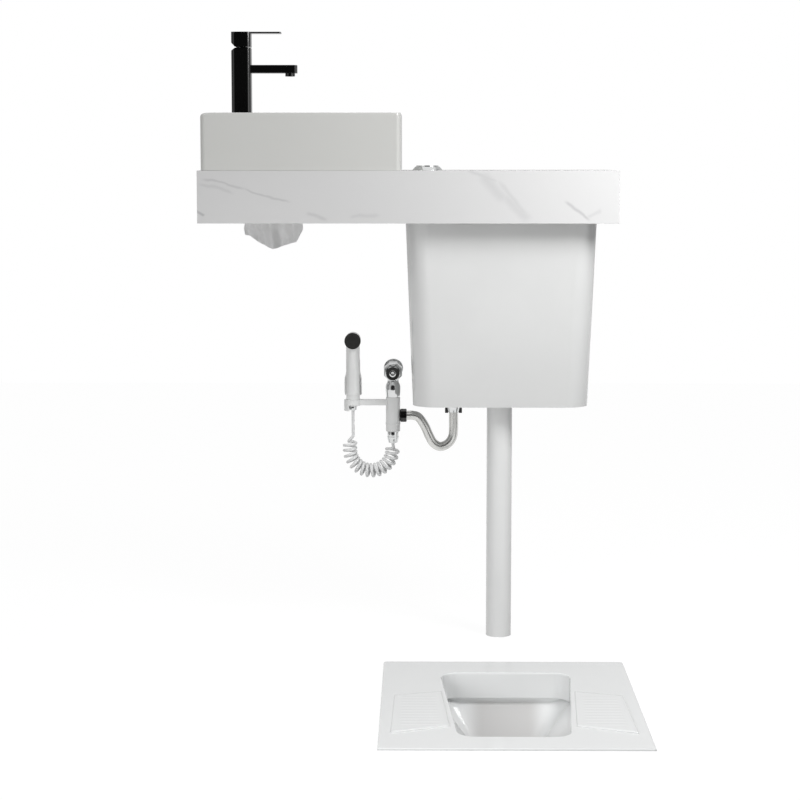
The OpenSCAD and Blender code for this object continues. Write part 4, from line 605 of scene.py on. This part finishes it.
# Each vein runs from u, v to u, v on the unrolled slabs, in metres, and has a half width and a strength.
vein_lines = [
    (-0.5685, 0.129, -0.490, 0.110, 0.0035, 0.55), (-0.490, 0.110, -0.405, 0.086, 0.0035, 0.60),
    (-0.576, 0.122, -0.512, 0.102, 0.0045, 0.35), (-0.582, 0.069, -0.566, 0.060, 0.0050, 0.95),
    (-0.372, 0.061, -0.334, 0.048, 0.0055, 0.45), (-0.290, 0.0555, -0.235, 0.060, 0.0060, 0.30),
    (-0.064, 0.139, -0.012, 0.124, 0.0060, 0.30), (-0.040, 0.134, 0.004, 0.088, 0.0180, 0.28),
    (-0.008, 0.124, 0.046, 0.060, 0.0075, 0.26), (0.000, 0.098, 0.050, 0.052, 0.0150, 0.26),
    (0.118, 0.084, 0.163, 0.050, 0.0050, 0.55), (0.160, 0.056, 0.186, 0.068, 0.0060, 0.25),
    (-0.190, 0.362, -0.030, 0.190, 0.0060, 0.40), (-0.030, 0.190, 0.110, 0.236, 0.0045, 0.35),
    (0.040, 0.160, 0.225, 0.350, 0.0090, 0.30), (-0.130, 0.250, 0.060, 0.330, 0.0040, 0.30)]


def smooth_step(tree, value, low, high, out_low, out_high):
    """Smooth step of value from low to high, onto out_low to out_high."""
    numbers = dict(enumerate((value, low, high, out_low, out_high)))
    return add_node(tree, "MapRange", numbers, interpolation_type="SMOOTHSTEP").outputs[0]


def dotted(tree, vector, weights):
    """Dot product of a vector socket and three weights."""
    return add_node(tree, "VectorMath", {0: vector, 1: weights}, operation="DOT_PRODUCT").outputs["Value"]


def veined(made, lines, tint):
    """Veins on the unrolled slabs, u = x + 0.6(y + 0.22) and v = z + y + 0.22, moved by a noise of 22 mm.
    Each fades smoothly with the distance from its line and past its two ends; the strongest one counts.
    The ground between them is painted darker towards the left end, as painted shade where less light falls."""
    drift, front_depth, wander = 0.6, 0.22, 0.022
    tree = made.node_tree
    ground = tree.nodes["Principled BSDF"].inputs["Base Color"]
    place = add_node(tree, "TexCoord", {}).outputs["Object"]
    noise = add_node(tree, "TexNoise", {0: place, "Scale": 16, "Detail": 3}).outputs["Fac"]
    u = dotted(tree, place, (1.0, drift, 0.0))
    v = calc(tree, "ADD", dotted(tree, place, (0.0, 1.0, 1.0)), calc(tree, "MULTIPLY", noise, wander))
    spot = add_node(tree, "CombineXYZ", {
        0: calc(tree, "ADD", u, drift * front_depth), 1: calc(tree, "ADD", v, front_depth - wander / 2),
        2: 1.0}).outputs[0]
    strongest = None
    for u0, v0, u1, v1, width, strength in lines:
        du, dv = u1 - u0, v1 - v0
        length = math.hypot(du, dv)
        along = dotted(tree, spot, (du / length**2, dv / length**2, -(u0 * du + v0 * dv) / length**2))
        aside = dotted(tree, spot, (-dv / length, du / length, (u0 * dv - v0 * du) / length))
        line = smooth_step(tree, calc(tree, "ABSOLUTE", aside), 0.0, width, strength, 0.0)
        past = calc(tree, "ABSOLUTE", calc(tree, "SUBTRACT", along, 0.5))
        shown = calc(tree, "MULTIPLY", line, smooth_step(tree, past, 0.35, 0.60, 1.0, 0.0))
        strongest = shown if strongest is None else calc(tree, "MAXIMUM", strongest, shown)
    # Painted shade: the ground colour is multiplied darker towards the left end, where less light falls.
    painted_falloff = add_node(tree, "Mix", {
        0: 1, 6: ground.default_value, 7: smooth_step(tree, u, -0.60, 0.30, 0.80, 0.97)},
        data_type="RGBA", blend_type="MULTIPLY")
    mixed = add_node(tree, "Mix", {0: strongest, 6: painted_falloff.outputs[2], 7: (*tint, 1)},
                     data_type="RGBA", blend_type="MIX")
    tree.links.new(mixed.outputs[2], ground)


veined(stone, vein_lines, (0.45, 0.45, 0.46))
dress(stone, "counter_top", "front_apron", "side_aprons", ease=0.0008)

# Underside panel and wall brackets: a painted board that closes the box from below, and bright steel
# angles screwed to the wall. The pins and the mixer's fixing are of the same steel.
board = uneven(finish("white_board", (0.78, 0.78, 0.77), 0.6), 300, rough=(0.5, 0.7), depth=0.00005)
dress(board, "bottom_panel")
steel = uneven(
    finish("steel", (0.60, 0.61, 0.62), 0.3, Metallic=1.0), 120, rough=(0.22, 0.42), stretch=(1, 1, 12))
dress(steel, "wall_brackets", "tray_pins", "cartridge_spindle", "mixer_fixing", "rocker_pin")

# Tissue holder: a tray moulded in white ABS, with a slot in its floor that the tissues are pulled through.
# It tips down on two pins to be filled.
white_plastic = uneven(
    finish("white_plastic", (0.76, 0.765, 0.76), 0.22, Coat_Weight=0.3, Coat_Roughness=0.08),
    9, tints=((0.745, 0.75, 0.745), (0.77, 0.775, 0.77)), rough=(0.18, 0.27))
dress(white_plastic, "tissue_tray", ease=0.0005)

# Tissue pack: some 25 sheets of soft white paper, folded into each other and laid in the tray. The folds
# show as layers on the sides.
tissue_paper = uneven(
    finish("tissue_paper", (0.76, 0.76, 0.76), 0.9, Sheen_Weight=0.15, Sheen_Roughness=0.5),
    900, tints=((0.73, 0.73, 0.73), (0.79, 0.79, 0.79)), depth=0.00008)
layer = np.arange(99)
layer_pitch, pack_foot = 0.5, 828.9
inset = np.where(layer % 2, 0.0, 0.9) + 0.5 * np.sin(layer * 1.7) * (layer % 2)
rows = [outline(-501 + i, -383 - i, -177 + i, -62 - i, 6, pack_foot + layer_pitch * k)
        for k, i in zip(layer, inset)]
pack = piece("folded_tissues", [skin(hoops(rows, 4))], tissue_paper, "tray",
             replaces=["tissue_pack"], sharp=80)

# Tissue that hangs from the slot, pulled out and crumpled: one sheet of thin paper in soft pleats, its
# free edge lowest in the middle.
u, v = np.meshgrid(np.linspace(0, 1, 121), np.linspace(0, 1, 61))
fall = np.interp(u, [0, 0.07, 0.13, 0.28, 0.40, 0.49, 0.56, 0.65, 0.79, 0.91, 0.96, 1],
                 [26, 28, 33, 42, 49.5, 52.5, 51.5, 48.5, 43, 40.5, 31, 22])
pleats = np.sin(2 * np.pi * (1.6 * u + 0.12 * v)) + 0.45 * np.sin(2 * np.pi * (3.7 * u - 0.25 * v) + 1.1)
edge_pleats = np.sin(2 * np.pi * 7.3 * u + 2.2 * v) * np.clip((u - 0.72) / 0.2, 0, 1)


def creases(u, v, count, seed):
    """Sum of triangle waves |2 frac(k u + m v + p) - 1|, each in its own direction and with its own pitch."""
    draw = np.random.default_rng(seed)
    k, m, p = draw.uniform(-5, 5, count), draw.uniform(-3, 3, count), draw.uniform(0, 1, count)
    waves = np.abs(2 * np.mod(u[..., None] * k + v[..., None] * m + p, 1) - 1)
    return (waves - 0.5).sum(-1) / math.sqrt(count)


loose = np.clip(v * 1.3, 0, 1)
slot_x, slot_y, slot_top = -442, -117.5, 829.5
bulge = 104 + 9 * np.sin(np.pi * v)
tissue_x = slot_x + (u - 0.5) * bulge - 5 * (1 - u)**3 * v + 1.5 * creases(u, v, 7, 4) * loose
tissue_y = slot_y + (3.5 + 4.5 * v) * pleats + 2.2 * edge_pleats * v + 3.0 * creases(u, v, 9, 11) * loose
tissue_z = slot_top - v * (fall + 5.5) + 1.5 * creases(u, v, 6, 23) * loose
hanging = np.stack([tissue_x, tissue_y, tissue_z], -1) / 1000 + (0, 0, floor)
tissue = piece("hanging_tissue", [skin(hanging, "open")], tissue_paper, "tray",
               replaces=["tissue_sheet"], sharp=180)
ply = tissue.modifiers.new("ply", "SOLIDIFY")
ply.thickness = 0.0004
ply.offset = 0

# Basin: one block of vitreous china, cast hollow and glazed all over in a warm light grey. Its edges are
# rounded by hand before firing; a square bowl drains to a hole in its floor, and the deck carries the mixer.
basin_china = uneven(
    finish("basin_ceramic", (0.62, 0.622, 0.60), 0.16, Coat_Weight=0.4, Coat_Roughness=0.05),
    3, tints=((0.605, 0.607, 0.588), (0.635, 0.637, 0.618)), rough=(0.12, 0.2))
bowl = (-455.5, -207.5, -203, -16)


def grown(box, g, r, z):
    """Outline of a box grown by g on all sides."""
    return outline(box[0] - g, box[1] + g, box[2] - g, box[3] + g, r, z)


drain = (-331.5, -331.5, -109.5, -109.5)
block = (-573.5, -193.5, -217, -2)
foot, deck, bowl_floor = 924, 1033, 941
drain_radius, boss_radius = 23, 37
basin_rows = [
    grown(block, 0, 10, foot), grown(block, 0, 10, deck), grown(bowl, 6, 30, deck), grown(bowl, 0, 24, deck),
    grown(bowl, -5, 24, bowl_floor), grown(drain, drain_radius, drain_radius, bowl_floor),
    grown(drain, drain_radius, drain_radius, foot), grown(drain, boss_radius, boss_radius, foot),
    grown(drain, boss_radius, boss_radius, 931), grown(bowl, 5, 34, 931), grown(bowl, 10, 34, 1021),
    grown(block, -12, 4, 1021), grown(block, -12, 4, foot)]
basin_rounds = [0.8, 8, 0, 4, 24, 2, 0, 0, 0, 30, 2, 2, 0]
basin_shell = hoops(softened(basin_rows, basin_rounds, 6, closed=True), 10)
piece("wash_basin", [skin(basin_shell, "joined")], basin_china, replaces=["basin"],
      even=True)

# Mixer: a brass casting with a satin black coat. The square body and spout have soft upright edges, and
# a groove at the back lets the lever head tilt.
black_metal = uneven(
    finish("black_metal", (0.0015, 0.0015, 0.0015), 0.12, IOR=1.75), 200, rough=(0.09, 0.15))
post = (-503.5, -503.5, -109.5, -109.5)
half_bar, groove, groove_deep, cut_deep = 19, 8, 0.0056, 0.0086
groove_x = (post[0] - half_bar + groove) / 1000
tower = hoops(softened([
    grown(post, 18.4, 7.4, deck), grown(post, half_bar, 8, deck), grown(post, half_bar, 8, 1159.4),
    grown(post, 18.4, 7.4, 1159.4)], [0, 0.6, 0.6, 0], 2))
upper = tower[..., 2] > floor + 1.15
tower[..., 2] -= upper * np.clip((groove_x - tower[..., 0]) / (groove / 1000), 0, 1) * groove_deep
spout_box = (-489, -395.5, -123, -96)
spout = hoops(softened([
    grown(spout_box, -0.8, 5.2, 1111), grown(spout_box, 0, 6, 1111), grown(spout_box, 0, 6, 1126.5),
    grown(spout_box, -0.8, 5.2, 1126.5)], [0, 0.8, 0.8, 0], 2))
piece("mixer_casting", [skin(tower), skin(spout)], black_metal, replaces=["mixer_body"],
      even=True)

# Lever head: the same square bar in the same coat, cut away at the back of its foot, with a thin plate to
# lift and turn it. It is pushed onto the cartridge's spindle.
cap = hoops(softened([
    grown(post, 18.4, 7.4, 1161), grown(post, half_bar, 8, 1161), grown(post, half_bar, 8, 1190),
    grown(post, 18.2, 7.2, 1190)], [0, 0.6, 0.8, 0], 2))
lower = cap[..., 2] < floor + 1.170
cap[..., 2] += lower * np.clip((groove_x - cap[..., 0]) / (groove / 1000), 0, 1) * cut_deep
piece("mixer_lever", [skin(cap), slab(-500, -426.5, -123, -96, 1187, 1190, 3, 0.9)], black_metal,
      "lever", replaces=["mixer_handle"], even=True)
dress(black_metal, "mixer_aerator")
brass = uneven(finish("brass", (0.72, 0.56, 0.28), 0.3, Metallic=1.0), 200, rough=(0.22, 0.4))
dress(brass, "cartridge_nut")

# Cistern: a tapered tank of white ABS, moulded in one with a lid clipped over it, bolted to the wall under
# the counter.
dress(white_plastic, "cistern_tank", "cistern_lid", ease=0.0012)

# Flush pipe, waste bend and the buried pipes: smooth white PVC, extruded or moulded, and pushed into
# sockets with rubber rings.
pipe_plastic = uneven(
    finish("pipe_plastic", (0.80, 0.805, 0.80), 0.22, Coat_Weight=0.2, Coat_Roughness=0.1),
    12, tints=((0.785, 0.79, 0.785), (0.81, 0.815, 0.81)), rough=(0.2, 0.27))
dress(pipe_plastic, "flush_pipe", "floor_elbow", "buried_pipe", "waste_bend")

# Works inside the cistern and the mixer: pale moulded plastic, clipped and screwed together, with a blue
# float and its lever, and seals of black rubber.
inner_plastic = uneven(
    finish("inner_plastic", (0.74, 0.77, 0.79), 0.4, Subsurface_Weight=0.1), 80, rough=(0.34, 0.5))
dress(inner_plastic, "mixer_cartridge", "full_rocker", "half_rocker", "rocker_bracket", "flush_tower",
      "valve_stem", "half_collar", "fill_valve", "back_nuts")
float_plastic = uneven(finish("float_plastic", (0.10, 0.24, 0.52), 0.45), 120, rough=(0.38, 0.55))
dress(float_plastic, "fill_float", "float_lever")
rubber = uneven(finish("rubber", (0.03, 0.03, 0.03), 0.7), 300, rough=(0.6, 0.8), depth=0.00005)
dress(rubber, "stem_seal", "inlet_cone", "seals")

# Squat pan: vitreous china cast in one piece and glazed white, let into the floor with its rim 3 mm
# proud. Below the opening a small overhang hides the flush, and the bowl falls to the outlet in front. Down
# the middle, below the overhang, the glaze is painted a faint grey as painted shade from the overhang.
pan_china = uneven(
    finish("pan_ceramic", (0.83, 0.84, 0.84), 0.07, Coat_Weight=0.6, Coat_Roughness=0.03),
    4, tints=((0.82, 0.83, 0.83), (0.84, 0.85, 0.85)), rough=(0.05, 0.10))
tree = pan_china.node_tree
place = add_node(tree, "SeparateXYZ", {0: add_node(tree, "TexCoord", {}).outputs["Object"]})
# Painted shade: the middle of the bowl below the ledge is mixed to grey, as shade under the overhang.
shade_half, unshaded_half, ledge_deep, shade_deep = 0.040, 0.085, 0.045, 0.060
aside = calc(tree, "ABSOLUTE", place.outputs["X"])
middle_band = smooth_step(tree, aside, shade_half, unshaded_half, 1, 0)
below_ledge = smooth_step(tree, place.outputs["Z"], floor - ledge_deep, floor - shade_deep, 0, 1)
glaze_colour = tree.nodes["Principled BSDF"].inputs["Base Color"]
painted_ledge_shade = add_node(tree, "Mix", {
    0: calc(tree, "MULTIPLY", middle_band, below_ledge), 6: glaze_colour.links[0].from_socket,
    7: (0.56, 0.555, 0.55, 1)}, data_type="RGBA")
tree.links.new(painted_ledge_shade.outputs[2], glaze_colour)
rim = (-225, 225, -832, -317)


def opening(g, z):
    """Outline of the pan's opening, grown by g: wider at the back than at the front."""
    return [0, 117.5 + g, 94.5 + g, -394 + g, -769 - g, 30 + g, 30 + g, z, z]


def trough(g, z_back, z_front):
    """Outline round the back of the bowl's floor and the outlet, grown by g, falling to the front."""
    return [0, 48 + g, 45 + g, -462 + g, -736 - g, 22 + g, 45 + g, z_back, z_front]


outlet = (0, 0, -691, -691)
ledge_gap = [0, 119, 96, -379, -771, 32, 32]
pan_rows = [
    grown(rim, 0, 5, -31), grown(rim, 0, 5, 3), opening(4, 3), opening(0, 3), opening(0, -45),
    ledge_gap + [-45, -45], ledge_gap + [-47, -47], trough(0, -124, -160),
    grown(outlet, 44.9, 44.9, -160), grown(outlet, 44.9, 44.9, -210), grown(outlet, 54, 54, -210),
    grown(outlet, 54, 54, -172), trough(10, -134, -170), opening(26, -60), opening(26, -11),
    grown(rim, -10, 4, -11), grown(rim, -10, 4, -31)]
pan_rounds = [0.5, 3, 0, 4, 1.2, 1, 1, 5, 3, 0, 0, 1, 4, 4, 4, 3, 0]
pan_shell = skin(hoops(softened(pan_rows, pan_rounds, 5, closed=True), 10), "joined")
flush_box = slab(-105, 105, -387, -352, -94, -8.5, 6, 4)
horn_edge = softened([(22, -336), (28, -336), (28, -381), (22, -381)], 0.8, closed=True)
horn = turned(horn_edge, (0, 0, -66), 1, 56)
piece("china_pan", [pan_shell, flush_box, skin(horn, "joined")], pan_china,
      replaces=["squat_pan"], even=True, sharp=50)

# Foot treads: two slightly raised pads on the pan's rim, cast with it and covered by its glaze, each with
# eleven low rounded ribs across.
side_ease, end_ease, rib_margin, rib_ease = 0.07, 0.025, 0.13, 0.06
rib_start, rib_pitch, rib_count = -548.75, 15.5, 11
pad_edge, pad_rise, rib_rise = 2.8, 0.7, 0.15
across, along = np.meshgrid(np.linspace(0, 1, 41), np.linspace(0, 1, 199))
wide = np.clip(np.minimum(across, 1 - across) / side_ease, 0, 1)
long = np.clip(np.minimum(along, 1 - along) / end_ease, 0, 1)
pad_mask = (3 - 2 * np.minimum(wide, long)) * np.minimum(wide, long)**2
rib_wide = np.clip(np.minimum(across - rib_margin, 1 - rib_margin - across) / rib_ease, 0, 1)
# A pad widens from 82.5 mm at the back to 98.5 mm in front, and its short edges slant.
pads = []
for side in (-1, 1):
    inner = 118.5 + (106.5 - 118.5) * along
    outer = 201 + (205 - 201) * along
    apart = across if side > 0 else 1 - across
    pad_x = side * (inner + (outer - inner) * apart)
    pad_y = -518 - 24 * apart + (-198 - 14 * apart) * along
    rib_turn = 2 * np.pi * np.clip((rib_start - pad_y) / rib_pitch, 0, rib_count)
    rib = rib_wide * (0.5 - 0.5 * np.cos(rib_turn))**2
    relief = pad_edge + pad_rise * pad_mask + rib_rise * rib
    pads.append(skin(np.stack([pad_x, pad_y, relief], -1) / 1000 + (0, 0, floor), "open"))
treads = piece("foot_treads", pads, pan_china, sharp=180, outwards=False)
glaze = treads.modifiers.new("thickness", "SOLIDIFY")
glaze.thickness = 0.002
glaze.offset = -1

# Room: a pale floor that the pan is let into, with a narrow joint round it, and even daylight from the
# front. None of it belongs to the part.
hall = bpy.data.meshes.new("floor")
reach, joint_gap = 4.0, 0.0012
hole = [edge / 1000 + side * joint_gap for edge, side in zip(rim, (-1, 1, -1, 1))]
ring = [(-reach, -reach), (reach, -reach), (reach, reach), (-reach, reach)]
hole_ring = [(hole[0], hole[2]), (hole[1], hole[2]), (hole[1], hole[3]), (hole[0], hole[3])]
hall.from_pydata([(x, y, floor) for x, y in ring + hole_ring], [],
                 [(0, 1, 5, 4), (1, 2, 6, 5), (2, 3, 7, 6), (3, 0, 4, 7)])
# Seen straight or in a reflection, the floor is mostly an even glow; it lights the rest as plain paint.
glow_share, glow_strength = 0.75, 1.22
floor_paint = finish("floor_paint", (0.40, 0.40, 0.40), 0.6)
tree = floor_paint.node_tree
ray = add_node(tree, "LightPath", {})
seen = calc(tree, "MAXIMUM", ray.outputs["Is Camera Ray"], ray.outputs["Is Glossy Ray"])
glow = add_node(tree, "Emission", {"Strength": glow_strength})
blend_in = add_node(tree, "MixShader", {
    0: calc(tree, "MULTIPLY", seen, glow_share), 1: tree.nodes["Principled BSDF"].outputs[0],
    2: glow.outputs[0]})
tree.links.new(blend_in.outputs[0], tree.nodes["Material Output"].inputs["Surface"])
hall.materials.append(floor_paint)
ground = bpy.data.objects.new("floor", hall)
scene.collection.objects.link(ground)

world = bpy.data.worlds.new("daylight")
scene.world = world
world.use_nodes = True
# Surfaces are lit softly from above and the left; polished ones mirror bright bands with dark ones
# between them; seen straight, the background is even.
tree = world.node_tree
back = tree.nodes["Background"]
way = add_node(tree, "SeparateXYZ", {0: add_node(tree, "TexCoord", {}).outputs["Generated"]})
x, y, z = (way.outputs[axis] for axis in "XYZ")
soft = calc(tree, "MULTIPLY", smooth_step(tree, z, -0.1, 0.95, 0.12, 0.95),
            smooth_step(tree, x, 0.0, 0.8, 1.0, 0.15))
front = smooth_step(tree, y, -0.92, -0.72, 0.03, 1.0)
side = smooth_step(tree, y, -0.45, -0.10, 1.0, 0.30)
mirror = calc(tree, "MULTIPLY", calc(tree, "MULTIPLY", front, side),
              smooth_step(tree, x, -0.5, 0.4, 0.55, 1.15))
mirror = calc(tree, "MAXIMUM", mirror, smooth_step(tree, y, 0.05, 0.5, 0.0, 0.62))
mirror = calc(tree, "MAXIMUM", mirror, smooth_step(tree, z, 0.55, 0.9, 0.0, 1.0))
ray = add_node(tree, "LightPath", {})
clear = calc(tree, "MAXIMUM", ray.outputs["Is Camera Ray"], ray.outputs["Is Transmission Ray"])
glossy = ray.outputs["Is Glossy Ray"]
level = calc(tree, "ADD", calc(tree, "MULTIPLY", mirror, glossy),
             calc(tree, "MULTIPLY", soft, calc(tree, "SUBTRACT", 1, glossy)))
tree.links.new(calc(tree, "MAXIMUM", level, clear), back.inputs["Strength"])
back.inputs["Color"].default_value = (1, 1, 1, 1)


def lamp(name, size, energy, place):
    """Round area lamp of a size in metres and an energy in watts."""
    made = bpy.data.objects.new(name, bpy.data.lights.new(name, "AREA"))
    scene.collection.objects.link(made)
    made.data.shape = "DISK"
    made.data.size = size
    made.data.energy = energy
    made.location = place
    return made


key = lamp("key", 0.6, 13.5, (0.76, -0.92, 0.74))
aim = np.array([0.05, -0.2, -0.1]) - np.array(key.location)
key.rotation_euler = (math.atan2(math.hypot(aim[0], aim[1]), -aim[2]), 0, math.atan2(-aim[0], aim[1]))
fill = lamp("fill", 0.8, 14, (-0.75, -2.25, -0.32))
fill.rotation_euler = (math.radians(90), 0, math.radians(-18))
fill.visible_camera = False
fill.visible_glossy = False
